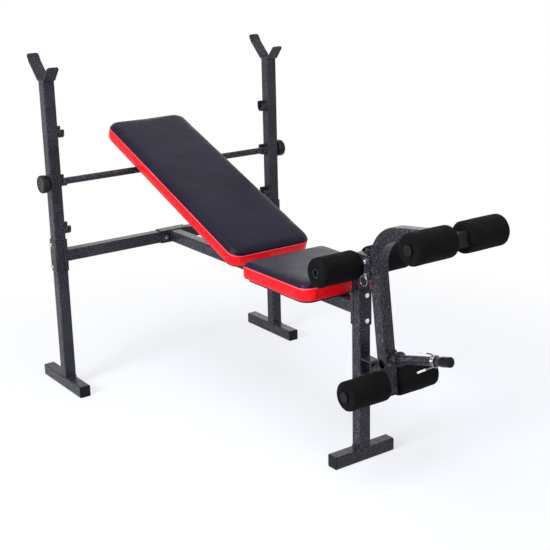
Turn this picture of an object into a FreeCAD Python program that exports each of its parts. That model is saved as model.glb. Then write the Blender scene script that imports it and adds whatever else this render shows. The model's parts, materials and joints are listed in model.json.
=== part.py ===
"""Adjustable weight bench with a barbell rack and a leg developer.

Millimetres, +Z up. The leg developer faces -Y, the rack stands at +Y and X runs across the bench.
The origin lies on the floor, in the middle of the bench's outline.
"""
import FreeCAD, Part
import math
import os
import re
import Sketcher
from FreeCAD import Placement, Rotation, Vector

# name, value, meaning
SIZES = (
    # square tube frame
    ("tube", 38, "side of the square frame tube"),
    ("tube_wall", 1.8, "wall of the square frame tube"),
    ("tube_corner", 4, "outer corner radius of the square frame tube"),
    ("seam", 0.3, "gap between neighbouring pieces that only rest on each other"),
    ("cap_flange", 3, "flange of a plastic end cap"),
    ("cap_plug", 11, "depth of a plastic end cap inside its tube"),
    ("cap_wall", 2, "wall of a plastic end cap's plug"),
    # rack
    ("upright_spacing", 848, "distance between the centres of the uprights"),
    ("upright_top", 1025, "height of the uprights"),
    ("foot_front", 119, "reach of a rack foot before its upright's centre"),
    ("foot_rear", 151, "reach of a rack foot behind its upright's centre"),
    ("catch_width", 40, "width of a barbell catch"),
    ("catch_plate", 4, "thickness of a barbell catch"),
    ("catch_bend", 7, "bend radius of a barbell catch at mid thickness"),
    ("catch_front_flat", 22, "flat of a catch before the upright's centre"),
    ("catch_rear_flat", 20, "flat of a catch behind the upright's centre"),
    ("catch_front_arm", 56, "length of a catch's front arm"),
    ("catch_front_angle", 50, "slope of a catch's front arm"),
    ("catch_rear_arm", 75, "length of a catch's rear arm up to its kink"),
    ("catch_rear_angle", 43.5, "slope of a catch's rear arm"),
    ("catch_tip_arm", 29, "length of a catch's tip above the kink"),
    ("catch_tip_angle", 58, "slope of a catch's tip"),
    ("catch_corner", 8, "corner radius of a catch's tips"),
    # support bar and its saddles
    ("bar_diameter", 22, "diameter of the backrest's support bar"),
    ("bar_wall", 2, "wall of the support bar"),
    ("saddle_rise", 86, "height of the bar in the lowest saddles over the beams' centre"),
    ("saddle_step", 157, "step from one saddle to the next"),
    ("saddle_plate", 4, "thickness of a saddle"),
    ("saddle_depth", 22, "width of a saddle along the bar"),
    ("saddle_front", 12, "height of a saddle's front wall above the bar's axis"),
    ("saddle_rear", 20, "height of a saddle's rear wall above the bar's axis"),
    ("knob_diameter", 44, "diameter of a knob between its lobes"),
    ("knob_reach", 29, "radius of a knob over its lobes"),
    ("knob_lobe", 17, "diameter of a knob's lobe"),
    ("knob_height", 24, "height of a knob's grip"),
    ("knob_neck", 4, "length of a knob's neck"),
    ("knob_round", 3.5, "edge radius of a knob"),
    ("stud_diameter", 10, "diameter of a knob's threaded stud"),
    ("stud_engaged", 22, "length of a stud inside the support bar"),
    ("stud_fit", 0.08, "radial clearance of a stud in its thread"),
    # beams and clamps
    ("beam_height", 457, "height of the centre of the beams"),
    ("clamp_lift", 4, "height of the upright clamps' centre over the beams' centre"),
    ("clamp_length", 105, "length of a clamp channel"),
    ("clamp_plate", 3, "plate thickness of a clamp channel"),
    ("clamp_slit", 2.5, "slit between the two channels of a clamp"),
    ("clamp_loose", 24, "flange depth of a loose clamp channel"),
    ("clamp_bolt_offset", 37, "distance of a clamp bolt from the clamp's centre"),
    ("bolt_diameter", 8, "diameter of a clamp bolt"),
    ("bolt_fit", 0.3, "radial clearance of a bolt in its hole"),
    ("bolt_head", 5.3, "height of a clamp bolt's head"),
    ("bolt_flats", 13, "width across flats of a clamp bolt and nut"),
    ("nut_height", 6.8, "height of a clamp nut"),
    ("bolt_tip", 3, "length of a bolt beyond its nut"),
    # front post and foot
    ("post_gap", 58, "distance of the front post's centre from the seat's front edge"),
    ("post_rise", 151, "height of the front post's top over its clamp's centre"),
    ("front_foot", 212, "length of the front foot over its caps"),
    ("ear_plate", 4, "thickness of a pivot ear"),
    ("ear_rise", 9, "height of the pivot ears over the post's top"),
    ("ear_drop", 64, "depth of the pivot ears below the post's top"),
    ("ear_overlap", 24, "overlap of a pivot ear on the post's side"),
    ("ear_reach", 46, "reach of a pivot ear before the post"),
    ("ear_corner", 14, "corner radius of a pivot ear"),
    ("bumper_drop", 313, "distance of the arm's rubber bumper below the pivot"),
    ("bumper_diameter", 32, "diameter of the rubber bumper"),
    ("bumper_length", 30, "length of the rubber bumper"),
    ("bracket_plate", 4, "thickness of the bumper bracket"),
    ("bracket_side", 50, "height of the bumper bracket"),
    ("bracket_width", 34, "width of the bumper bracket"),
    # leg developer
    ("pivot_reach", 29.5, "distance of the pivot before the post's front face"),
    ("pivot_drop", 8, "distance of the pivot below the post's top"),
    ("pivot_diameter", 10, "diameter of the pivot bolt"),
    ("pivot_fit", 0.1, "radial clearance of the pivot bolt in its barrel"),
    ("pivot_flats", 16, "width across flats of the pivot bolt and nut"),
    ("barrel_diameter", 24, "diameter of the arm's pivot barrel"),
    ("arm_tilt", 7.5, "lean of the arm at rest"),
    ("arm_offset", 25, "distance from the pivot to the arm's lower axis"),
    ("arm_bend", 102, "bend radius of the arm's axis"),
    ("arm_bend_start", 20, "distance of the bend below the pivot"),
    ("upper_roller", 329, "distance of the upper roller before the pivot"),
    ("lower_roller", 342, "distance of the lower roller below the pivot"),
    ("upper_end", 25, "reach of the arm beyond the upper roller"),
    ("lower_end", 27, "reach of the arm below the lower roller"),
    ("spare_gap", 59, "distance of the spare roller hole above the lower roller"),
    ("pin_diameter", 8, "diameter of the lock pin"),
    ("pin_drop", 37, "distance of the lock pin below the pivot"),
    ("pin_reach", 31, "distance of the lock pin before the post's front face"),
    ("pin_head", 13, "diameter of the lock pin's head"),
    ("pin_head_plate", 4, "thickness of the lock pin's head"),
    ("pin_tab", 5, "thickness of the lock pin's tab"),
    ("pin_tab_height", 12, "height of the lock pin's tab"),
    ("pin_tab_length", 9, "length of the lock pin's tab"),
    ("ring_hole", 4, "diameter of the pull ring's hole in the tab"),
    ("ring_radius", 14.5, "middle radius of the pull ring"),
    ("ring_wire", 2.8, "wire diameter of the pull ring"),
    # foam rollers
    ("roller_tube", 25, "diameter of the roller tubes and of the weight post"),
    ("roller_wall", 1.8, "wall of the roller tubes"),
    ("foam_diameter", 84, "diameter of a foam roller"),
    ("foam_length", 133, "length of a foam roller"),
    ("foam_fit", 0.2, "radial clearance of a foam roller on its tube"),
    ("foam_round", 5, "edge radius of a foam roller"),
    ("foam_gap", 1.5, "gap between a foam roller and the arm's side"),
    ("seat_roller_drop", 27, "distance of the seat's roller below the post's top"),
    ("roller_cap_diameter", 30, "diameter of a round end cap"),
    ("roller_cap_length", 4, "thickness of a round end cap"),
    # weight post
    ("weight_gap", 73, "distance of the weight post above the lower roller"),
    ("weight_tilt", 7, "rise of the weight post over the arm's square"),
    ("weight_length", 236, "length of the weight post"),
    ("weight_flange", 42, "diameter of the weight post's stop flange"),
    ("weight_flange_place", 36, "distance of the stop flange from the arm"),
    ("weight_flange_plate", 4, "thickness of the stop flange"),
    ("base_width", 38, "width of the weight post's base plate"),
    ("base_height", 44, "height of the weight post's base plate"),
    ("base_plate", 4, "thickness of the weight post's base plate"),
    ("base_bolt", 6, "diameter of a base bolt"),
    ("base_bolt_flats", 10, "width across flats of a base bolt"),
    ("base_bolt_offset", 13.5, "distance of a base bolt from the plate's centre lines"),
    ("weight_cap_length", 30, "length of the weight post's cap"),
    ("weight_cap_diameter", 28, "diameter of the weight post's cap"),
    ("collar_wire", 5, "wire diameter of the spring collar"),
    ("collar_place", 172, "distance of the spring collar from the arm"),
    ("collar_turns", 3, "turns of the spring collar"),
    ("collar_grip", 42, "length of a grip of the spring collar"),
    ("collar_grip_diameter", 9, "diameter of a grip of the spring collar"),
    # pads
    ("band", 42, "height of the pads' side band"),
    ("crown", 13, "height of the pads' crown over the side band"),
    ("crown_round", 15, "edge radius of the pads' crown"),
    ("pad_corner", 38, "corner radius of the pads"),
    ("board", 12, "thickness of the pads' boards"),
    ("board_inset", 6, "distance of a board's edge from its pad's edge"),
    ("seat_width", 300, "width of the seat"),
    ("seat_length", 308, "length of the seat"),
    ("seat_gap", 87, "distance of the seat's rear edge from the backrest's hinge"),
    ("strap_plate", 2.6, "thickness of a seat strap"),
    ("strap_width", 40, "width of a seat strap"),
    ("strap_length", 220, "length of a seat strap"),
    ("strap_inset", 62, "distance of a seat strap from the seat's edge"),
    ("screw_diameter", 6, "diameter of a pad screw"),
    ("screw_flats", 10, "width across flats of a pad screw"),
    ("screw_head", 4, "height of a pad screw's head"),
    ("screw_depth", 9, "depth of a pad screw in its board"),
    ("screw_inset", 16, "distance of a pad screw from its strap's end"),
    # backrest
    ("backrest_width", 294, "width of the backrest"),
    ("backrest_length", 826, "length of the backrest"),
    ("backrest_angle", 21.4, "slope of the backrest at rest"),
    ("rail_height", 13, "height of a backrest rail"),
    ("rail_width", 25, "width of a backrest rail"),
    ("rail_wall", 1.5, "wall of a backrest rail"),
    ("rail_spacing", 120, "distance between the centres of the rails"),
    ("rail_overhang", 105.5, "reach of a backrest rail beyond the support bar"),
    ("rail_start", 14, "distance of the rails from the hinge"),
    ("hinge_rise", 13.4, "height of the backrest's hinge over the beams' top"),
    ("hinge_inset", 21, "distance of the hinge from the backrest's lower edge"),
    ("hinge_drop", 12, "distance of the hinge below the backrest's board"),
    ("hinge_rod", 10, "diameter of the backrest's hinge rod"),
    ("hinge_fit", 0.1, "radial clearance of the hinge rod"),
    ("hinge_ear", 22, "width of a hinge ear"),
    ("hinge_plate", 4, "thickness of a hinge ear"),
    ("lug_length", 52, "length of a rail's hinge lug"),
)

doc = FreeCAD.newDocument("WeightBench")
dims = doc.addObject("Spreadsheet::Sheet", "Dims")
for row, (alias, number, meaning) in enumerate(SIZES, start=1):
    dims.set(f"A{row}", meaning)
    dims.set(f"B{row}", str(number))
    dims.setAlias(f"B{row}", alias)
doc.recompute()

ALIASES = {alias for alias, _, _ in SIZES}
PIECES = []

# places that follow from the sizes: name, formula of sizes and of places above it
DERIVED = (
    ("clamp_height", "beam_height + clamp_lift"),
    ("saddle_low", "beam_height + saddle_rise"),
    ("bar_height", "saddle_low + saddle_step"),
    ("post_top", "clamp_height + post_rise"),
    ("ear_top", "post_top + ear_rise"),
    ("ear_bottom", "post_top - ear_drop"),
    ("pivot_height", "post_top - pivot_drop"),
    ("bumper_height", "pivot_height - bumper_drop"),
    ("seat_roller_height", "post_top - seat_roller_drop"),
    ("hinge_height", "beam_height + tube / 2 + hinge_rise"),
    ("bar_over_hinge", "bar_height - hinge_height"),
    ("bar_lift", "bar_diameter / 2 + seam + rail_height - hinge_drop"),
    ("hinge_distance", "(bar_over_hinge + bar_lift / cos(backrest_angle)) / tan(backrest_angle)"),
    ("bar_along", "hinge_distance * cos(backrest_angle) + bar_over_hinge * sin(backrest_angle)"),
    ("rail_length", "bar_along + rail_overhang - rail_start"),
    ("seat_distance", "hinge_distance + seat_gap"),
    ("post_distance", "seat_distance + seat_length + post_gap"),
    ("arm_reach", "upper_roller + upper_end"),
    ("arm_drop", "lower_roller + lower_end"),
    ("spare_hole", "lower_roller - spare_gap"),
    ("weight_root", "lower_roller - weight_gap"),
)


# ---- formulas -------------------------------------------------------------------------------

def formula(text):
    """Spell out the places in a formula and point every size name at the spreadsheet."""
    for name, meaning in reversed(DERIVED):
        text = re.sub(rf"\b{name}\b", f"({meaning})", str(text))
    return re.sub(r"[a-z]\w+", lambda word: "Dims." + word[0] if word[0] in ALIASES else word[0], str(text))


def value(text):
    """Number that a formula gives."""
    result = dims.evalExpression(formula(text))
    return float(getattr(result, "Value", result))


def bind(item, **formulas):
    """Bind properties of an object to formulas."""
    for name, text in formulas.items():
        item.setExpression(name, formula(text))
    return item


def seat(item, x="0", y="0", z="0"):
    """Bind the place of an object to formulas."""
    for axis, text in (("x", x), ("y", y), ("z", z)):
        item.setExpression("Placement.Base." + axis, formula(text))
    return item


# ---- simple solids --------------------------------------------------------------------------

TURNS = {
    "Z": Rotation(),
    "X": Rotation(Vector(0, 1, 0), 90),
    "Y": Rotation(Vector(1, 0, 0), -90),
}


def box(name, size, corner):
    """Box of a size, from its lowest corner."""
    item = doc.addObject("Part::Box", name)
    bind(item, Length=size[0], Width=size[1], Height=size[2])
    return seat(item, *corner)


def centred_box(name, size, centre):
    """Box of a size round its centre."""
    corner = [f"({place}) - ({length}) / 2" for place, length in zip(centre, size)]
    return box(name, size, corner)


def cylinder(name, diameter, length, start, axis="Z"):
    """Cylinder along X, Y or Z from its start."""
    item = doc.addObject("Part::Cylinder", name)
    bind(item, Radius=f"({diameter}) / 2", Height=length)
    item.Placement = Placement(Vector(), TURNS[axis])
    return seat(item, *start)


def hexagon(name, flats, height, start, axis="Z"):
    """Hexagonal prism along X, Y or Z from its start."""
    item = doc.addObject("Part::Prism", name)
    item.Polygon = 6
    bind(item, Circumradius=f"({flats}) / sqrt(3)", Height=height)
    item.Placement = Placement(Vector(), TURNS[axis])
    return seat(item, *start)


def fuse(name, *items):
    """One solid of several that touch."""
    item = doc.addObject("Part::MultiFuse", name)
    item.Shapes = list(items)
    item.Refine = True
    return item


def cut(name, base, *tools):
    """A solid less one or more others."""
    item = doc.addObject("Part::Cut", name)
    item.Base = base
    item.Tool = tools[0] if len(tools) == 1 else compound(name + "_tools", *tools)
    item.Refine = True
    return item


def compound(name, *items):
    """Several solids kept apart in one object."""
    item = doc.addObject("Part::Compound", name)
    item.Links = list(items)
    return item


def ring(name, outer, inner, length, start, axis="Z"):
    """Hollow cylinder along X, Y or Z from its start."""
    margin = "seam"
    back = list(start)
    index = "XYZ".index(axis)
    back[index] = f"{start[index]} - {margin}"
    wall = cylinder(name + "_wall", outer, length, start, axis)
    bore = cylinder(name + "_bore", inner, f"({length}) + 2 * {margin}", back, axis)
    return cut(name, wall, bore)


# ---- sketched solids ------------------------------------------------------------------------

def new_body(name):
    return doc.addObject("PartDesign::Body", name)


def new_sketch(body, plane, name="Sketch"):
    """Sketch on one of a body's own origin planes."""
    sketch = body.newObject("Sketcher::SketchObject", name)
    support = next(item for item in body.Origin.OriginFeatures if item.Role == plane)
    sketch.AttachmentSupport = [(support, "")]
    sketch.MapMode = "FlatFace"
    return sketch


def name_constraint(sketch, index, name, text):
    sketch.renameConstraint(index, name)
    sketch.setExpression("Constraints." + name, formula(text))


def add_rectangle(sketch, width, height, corner, name):
    """Rounded rectangle round the sketch's origin, with bound width, height and corner radius."""
    half_w = value(width) / 2
    half_h = value(height) / 2
    radius = value(corner)
    quarter = math.pi / 2
    first = sketch.GeometryCount
    for turn in range(4):
        side = (half_w, half_h) if turn % 2 == 0 else (half_h, half_w)
        rotate = Rotation(Vector(0, 0, 1), 90 * turn)
        line_start = rotate.multVec(Vector(side[0], radius - side[1], 0))
        line_end = rotate.multVec(Vector(side[0], side[1] - radius, 0))
        centre = rotate.multVec(Vector(side[0] - radius, side[1] - radius, 0))
        circle = Part.Circle(centre, Vector(0, 0, 1), radius)
        sketch.addGeometry(Part.LineSegment(line_start, line_end), False)
        sketch.addGeometry(Part.ArcOfCircle(circle, quarter * turn, quarter * (turn + 1)), False)
    for turn in range(4):
        line = first + 2 * turn
        arc = line + 1
        following = first + 2 * ((turn + 1) % 4)
        sketch.addConstraint(Sketcher.Constraint("Tangent", line, 2, arc, 1))
        sketch.addConstraint(Sketcher.Constraint("Tangent", arc, 2, following, 1))
        sketch.addConstraint(Sketcher.Constraint("Vertical" if turn % 2 == 0 else "Horizontal", line))
        if turn:
            sketch.addConstraint(Sketcher.Constraint("Equal", first + 1, arc))
    index = sketch.addConstraint(Sketcher.Constraint("Radius", first + 1, radius))
    name_constraint(sketch, index, name + "_corner", corner)
    index = sketch.addConstraint(Sketcher.Constraint("DistanceX", first + 4, 1, first, 1, 2 * half_w))
    name_constraint(sketch, index, name + "_width", width)
    index = sketch.addConstraint(Sketcher.Constraint("DistanceY", first + 6, 1, first + 2, 1, 2 * half_h))
    name_constraint(sketch, index, name + "_height", height)
    sketch.addConstraint(Sketcher.Constraint("Symmetric", first + 1, 3, first + 5, 3, -1, 1))


def add_circle(sketch, diameter, name, x="0", y="0"):
    """Circle with a bound diameter and centre."""
    centre = Vector(value(x), value(y), 0)
    index = sketch.addGeometry(Part.Circle(centre, Vector(0, 0, 1), value(diameter) / 2), False)
    size = sketch.addConstraint(Sketcher.Constraint("Diameter", index, value(diameter)))
    name_constraint(sketch, size, name + "_diameter", diameter)
    for kind, text in (("DistanceX", x), ("DistanceY", y)):
        if text != "0":
            place = sketch.addConstraint(Sketcher.Constraint(kind, -1, 1, index, 3, value(text)))
            name_constraint(sketch, place, name + "_" + kind, text)
        else:
            other = "PointOnObject"
            line = -2 if kind == "DistanceX" else -1
            sketch.addConstraint(Sketcher.Constraint(other, index, 3, line))


def pad(body, sketch, length, symmetric=False, reverse=False):
    """Extrude a sketch of a body."""
    feature = body.newObject("PartDesign::Pad", "Pad")
    feature.Profile = sketch
    feature.SideType = "Symmetric" if symmetric else "One side"
    feature.Reversed = reverse
    bind(feature, Length=length)
    sketch.Visibility = False
    return feature


def square_tube(name, axis, length, start, side="tube", other="tube", wall="tube_wall", corner="tube_corner"):
    """Hollow rectangular tube along X, Y or Z from the middle of its first end."""
    plane = {"X": "YZ_Plane", "Y": "XZ_Plane", "Z": "XY_Plane"}[axis]
    body = new_body(name)
    sketch = new_sketch(body, plane)
    add_rectangle(sketch, side, other, corner, "outer")
    inner_side = f"{side} - 2 * {wall}"
    inner_other = f"{other} - 2 * {wall}"
    add_rectangle(sketch, inner_side, inner_other, f"{corner} - {wall}", "inner")
    pad(body, sketch, length, reverse=axis == "Y")
    return seat(body, *start)


def strip_outline(points, thickness, radius):
    """Outline of a bent strip round its middle line: straight runs with tangent arcs."""
    path = [Vector(x, y, 0) for x, y in points]
    runs = [(end - start).normalize() for start, end in zip(path, path[1:])]
    normals = [Vector(-run.y, run.x, 0) for run in runs]
    trims = [0]
    for before, after in zip(runs, runs[1:]):
        trims.append(radius * math.tan(before.getAngle(after) / 2))
    trims.append(0)
    curves = []
    ends = []
    for offset in (thickness / 2, -thickness / 2):
        side = []
        for index, (run, normal) in enumerate(zip(runs, normals)):
            start = path[index] + run * trims[index] + normal * offset
            end = path[index + 1] - run * trims[index + 1] + normal * offset
            side.append(Part.LineSegment(start, end))
            if index + 1 < len(runs):
                turn = run.x * runs[index + 1].y - run.y * runs[index + 1].x
                hand = 1 if turn > 0 else -1
                centre = path[index + 1] - run * trims[index + 1] + normal * (hand * radius)
                middle = (normal + normals[index + 1]).normalize() * (-hand * (radius - hand * offset))
                arc_end = path[index + 1] + runs[index + 1] * trims[index + 1] + normals[index + 1] * offset
                side.append(Part.Arc(end, centre + middle, arc_end))
        ends.append((side[0].StartPoint, side[-1].EndPoint))
        curves.extend(side)
    curves.append(Part.LineSegment(ends[0][0], ends[1][0]))
    curves.append(Part.LineSegment(ends[0][1], ends[1][1]))
    return curves


def strip(name, plane, points, thickness, radius, width, symmetric=True):
    """Bent flat bar: points are formulas in the plane of the bends, width runs across it."""
    body = new_body(name)
    sketch = new_sketch(body, plane)
    numbers = [(value(x), value(y)) for x, y in points]
    for curve in strip_outline(numbers, value(thickness), value(radius)):
        index = sketch.addGeometry(curve, False)
        sketch.addConstraint(Sketcher.Constraint("Block", index))
    pad(body, sketch, width, symmetric)
    return body


def round_edges(name, base, radius, chosen):
    """Fillet the edges of a solid that a test picks."""
    doc.recompute()
    amount = value(radius)
    edges = enumerate(base.Shape.Edges, start=1)
    picked = [(index, amount, amount) for index, edge in edges if chosen(edge)]
    item = doc.addObject("Part::Fillet", name)
    item.Base = base
    item.Edges = picked
    return item


# ---- places ---------------------------------------------------------------------------------

HALF = "tube / 2"
UPRIGHT_X = "upright_spacing / 2"
INNER_X = f"({UPRIGHT_X} - {HALF})"
OUTER_X = f"({UPRIGHT_X} + {HALF})"
BAR_Z = "bar_height"
POST_FRONT = f"(-post_distance - {HALF})"
BEAM_TOP = f"(beam_height + {HALF})"
GRIP = "(tube + 2 * clamp_plate)"
BOLT_HOLE = "(bolt_diameter + 2 * bolt_fit)"
BASE_HOLE = "(base_bolt + 2 * bolt_fit)"
ROLLER_BORE = "(roller_tube - 2 * roller_wall)"
PIVOT_BORE = "(pivot_diameter + 2 * pivot_fit)"
EAR_X = f"({HALF} + seam)"
EAR_OUTER = f"({HALF} + seam + ear_plate)"

# leg developer: its own frame has the pivot as origin, its lower leg along -Z, its upper leg along -Y
PIVOT_Y = f"({POST_FRONT} - pivot_reach)"
UPPER_Z = "(arm_bend - arm_bend_start)"
ARM_BACK = f"(arm_offset - {HALF})"
ARM_FACE = f"(arm_offset + {HALF})"
PIN_Y = f"({POST_FRONT} - pin_reach)"
PIN_Z = "(pivot_height - pin_drop)"

# backrest: its own frame has the hinge as origin, +Y up the slope, +Z out of the cushion
HINGE_Y = "(-hinge_distance)"
HINGE_Z = "hinge_height"

# seat
BOARD_LOW = f"({BEAM_TOP} + strap_plate)"
SEAT_Y = "(-seat_distance - seat_length / 2)"

# reach of the whole bench before and behind the rack, which sets the origin
FRONT_REACH = (
    f"(-{PIVOT_Y} + upper_roller * cos(arm_tilt) - {UPPER_Z} * sin(arm_tilt) + foam_diameter / 2)"
)
PAD_REAR = (
    "((backrest_length - hinge_inset) * cos(backrest_angle)"
    " - hinge_drop * sin(backrest_angle) - hinge_distance)"
)
RACK_Y = f"(({FRONT_REACH} - max(foot_rear; {PAD_REAR})) / 2)"


def place(item, y="0", z="0", angle="0"):
    """Turn an object about X and bind its place, counted from the rack."""
    item.Placement = Placement(Vector(), Rotation(Vector(1, 0, 0), 1))
    item.setExpression("Placement.Rotation.Angle", formula(angle))
    return seat(item, "0", f"{RACK_Y} + ({y})", z)


def piece(label, item, frame="bench"):
    """Register a finished sub-part under its name, in the frame that carries it."""
    if frame == "arm":
        place(item, PIVOT_Y, "pivot_height", "-arm_tilt")
    elif frame == "backrest":
        place(item, HINGE_Y, HINGE_Z, "backrest_angle")
    else:
        place(item)
    item.Label = label
    PIECES.append(item)
    return item


def turned(item, x_direction, z_direction):
    """Point an object's own X and Z axes along given directions."""
    y_direction = z_direction.cross(x_direction)
    item.Placement = Placement(Vector(), Rotation(x_direction, y_direction, z_direction, "ZXY"))
    return item


X_AXIS = Vector(1, 0, 0)
Y_AXIS = Vector(0, 1, 0)
Z_AXIS = Vector(0, 0, 1)
SIDES = (("left", -1), ("right", 1))


# ---- end caps -------------------------------------------------------------------------------

def square_cap(name, axis, end, outward, across):
    """Plastic cap of a square tube: flange over the tube's end and a hollow plug inside it."""
    index = "XYZ".index(axis)
    plug_side = "(tube - 2 * tube_wall - 2 * seam)"
    flange_size = ["tube", "tube", "tube"]
    flange_size[index] = "cap_flange"
    plug_size = [plug_side] * 3
    plug_size[index] = "cap_plug"
    hollow_size = [f"{plug_side} - 2 * cap_wall"] * 3
    hollow_size[index] = "cap_plug"
    parts = []
    for part, size, shift in (
        ("flange", flange_size, f"{outward} * cap_flange / 2"),
        ("plug", plug_size, f"-{outward} * cap_plug / 2"),
        ("hollow", hollow_size, f"-{outward} * cap_plug / 2"),
    ):
        centre = list(across)
        centre[index] = f"{end} + {shift}"
        parts.append(centred_box(f"{name}_{part}", size, centre))
    flange, plug, hollow = parts

    def runs_along(edge):
        return abs(edge.tangentAt(edge.FirstParameter)[index]) > 0.9

    cover = round_edges(name + "_cover", flange, "tube_corner", runs_along)
    core = round_edges(name + "_core", plug, "tube_corner - tube_wall", runs_along)
    return fuse(name, cover, cut(name + "_sleeve", core, hollow))


# ---- rack -----------------------------------------------------------------------------------

def catch(name, x):
    """Barbell catch: a bent flat bar with a short front arm and a kinked rear arm."""
    low = "upright_top + catch_plate / 2"
    front_y = "catch_front_flat + catch_front_arm * cos(catch_front_angle)"
    front_z = f"{low} + catch_front_arm * sin(catch_front_angle)"
    kink_y = "catch_rear_flat + catch_rear_arm * cos(catch_rear_angle)"
    kink_z = f"{low} + catch_rear_arm * sin(catch_rear_angle)"
    tip_y = f"{kink_y} + catch_tip_arm * cos(catch_tip_angle)"
    tip_z = f"{kink_z} + catch_tip_arm * sin(catch_tip_angle)"
    points = (
        (f"-({front_y})", front_z),
        ("-catch_front_flat", low),
        ("catch_rear_flat", low),
        (kink_y, kink_z),
        (tip_y, tip_z),
    )
    bar = strip(name + "_bar", "YZ_Plane", points, "catch_plate", "catch_bend", "catch_width")
    tips = (value(front_z), value(tip_z))
    reach = value("catch_plate")
    half = value("catch_width") / 2

    def is_tip_corner(edge):
        middle = edge.CenterOfMass
        near_tip = min(abs(middle.z - tip) for tip in tips) < reach
        return near_tip and edge.Length < 1.5 * reach and abs(abs(middle.x) - half) < 0.01

    rounded = round_edges(name, bar, "catch_corner", is_tip_corner)
    return seat(rounded, x)


def saddle(name, side, height):
    """U-shaped saddle on the inner face of an upright."""
    middle = "(bar_diameter / 2 + seam + saddle_plate / 2)"
    points = (
        (f"-{middle}", "saddle_front"),
        (f"-{middle}", f"-{middle}"),
        (middle, f"-{middle}"),
        (middle, "saddle_rear"),
    )
    radius = f"{middle} - saddle_plate / 1000"
    body = strip(name, "YZ_Plane", points, "saddle_plate", radius, "saddle_depth")
    return seat(body, f"{side} * ({INNER_X} - saddle_depth / 2)", "0", height)


def rack_upright(label, side):
    """Upright with its foot, its barbell catch and its three saddles, welded together."""
    x = f"{side} * {UPRIGHT_X}"
    foot_length = "foot_front + foot_rear - 2 * cap_flange"
    foot = square_tube(label + "_foot", "Y", foot_length, (x, "-foot_front + cap_flange", HALF))
    column = square_tube(label + "_column", "Z", "upright_top - tube", (x, "0", "tube"))
    parts = [foot, column, catch(label + "_catch", x)]
    for step in range(3):
        parts.append(saddle(f"{label}_saddle_{step}", side, f"saddle_low + {step} * saddle_step"))
    weldment = fuse(label + "_weldment", *parts)
    inner = f"{x} - tube"
    holes = []
    for sign in (-1, 1):
        height = f"clamp_height + {sign} * clamp_bolt_offset"
        start = (inner, "0", height)
        holes.append(cylinder(f"{label}_hole_{len(holes)}", BOLT_HOLE, "2 * tube", start, "X"))
    start = (inner, "0", BAR_Z)
    holes.append(cylinder(label + "_stud_hole", "stud_diameter + 2 * bolt_fit", "2 * tube", start, "X"))
    return piece(label, cut(label, weldment, *holes))


def rack_foot_caps():
    caps = []
    for name, side in SIDES:
        x = f"{side} * {UPRIGHT_X}"
        for end, sign in (("-foot_front + cap_flange", -1), ("foot_rear - cap_flange", 1)):
            caps.append(square_cap(f"foot_cap_{name}_{len(caps)}", "Y", end, sign, (x, "0", HALF)))
    return piece("rack_foot_caps", compound("rack_foot_caps", *caps))


# ---- clamps ---------------------------------------------------------------------------------

def channel(name, depth, outward, along, place_at):
    """Clamp channel: web on a tube's face, flanges on its sides, two bolt holes."""
    edge = f"({HALF} + clamp_plate / 2)"
    points = (
        (f"-({depth})", edge),
        ("clamp_plate / 2", edge),
        ("clamp_plate / 2", f"-{edge}"),
        (f"-({depth})", f"-{edge}"),
    )
    body = strip(name + "_plate", "XY_Plane", points, "clamp_plate", "clamp_plate", "clamp_length")
    holes = []
    for sign in (-1, 1):
        start = ("-clamp_plate", "0", f"{sign} * clamp_bolt_offset")
        length = "3 * clamp_plate"
        holes.append(cylinder(f"{name}_hole_{len(holes)}", BOLT_HOLE, length, start, "X"))
    plate = cut(name, body, *holes)
    turned(plate, outward, along)
    return seat(plate, *place_at)


WELDED_DEPTH = "tube - clamp_loose - clamp_slit"


def clamp_channels():
    """Loose channels that the bolts pull against the welded ones."""
    for name, side in SIDES:
        at = (f"{side} * {OUTER_X}", "0", "clamp_height")
        plate = channel(f"clamp_{name}", "clamp_loose", X_AXIS * side, Z_AXIS, at)
        piece(f"clamp_channel_{name}", compound(f"clamp_channel_{name}", plate))
    rear = channel("clamp_rear", "clamp_loose", Y_AXIS, X_AXIS, ("0", HALF, "beam_height"))
    piece("clamp_channel_rear", compound("clamp_channel_rear", rear))
    front = channel("clamp_front", "clamp_loose", Y_AXIS * -1, Z_AXIS, ("0", POST_FRONT, "clamp_height"))
    piece("clamp_channel_front", compound("clamp_channel_front", front))


def clamp_fastener(name, axis, low, place_at, head_low):
    """Bolt and nut through a clamp: low is the clamp's lowest face along the bolt."""
    index = "XYZ".index(axis)
    high = f"{low} + {GRIP}"
    if head_low:
        head_start, shank_start, nut_start = f"{low} - bolt_head", low, high
    else:
        head_start, shank_start, nut_start = high, f"{low} - nut_height - bolt_tip", f"{low} - nut_height"
    starts = []
    for start in (head_start, shank_start, nut_start):
        at = list(place_at)
        at[index] = start
        starts.append(at)
    head = hexagon(name + "_head", "bolt_flats", "bolt_head", starts[0], axis)
    shank = cylinder(name + "_shank", "bolt_diameter", f"{GRIP} + nut_height + bolt_tip", starts[1], axis)
    blank = hexagon(name + "_nut_blank", "bolt_flats", "nut_height", starts[2], axis)
    thread = cylinder(name + "_thread", "bolt_diameter", f"{GRIP} + nut_height + bolt_tip", starts[1], axis)
    return fuse(name, head, shank), cut(name + "_nut", blank, thread)


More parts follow.
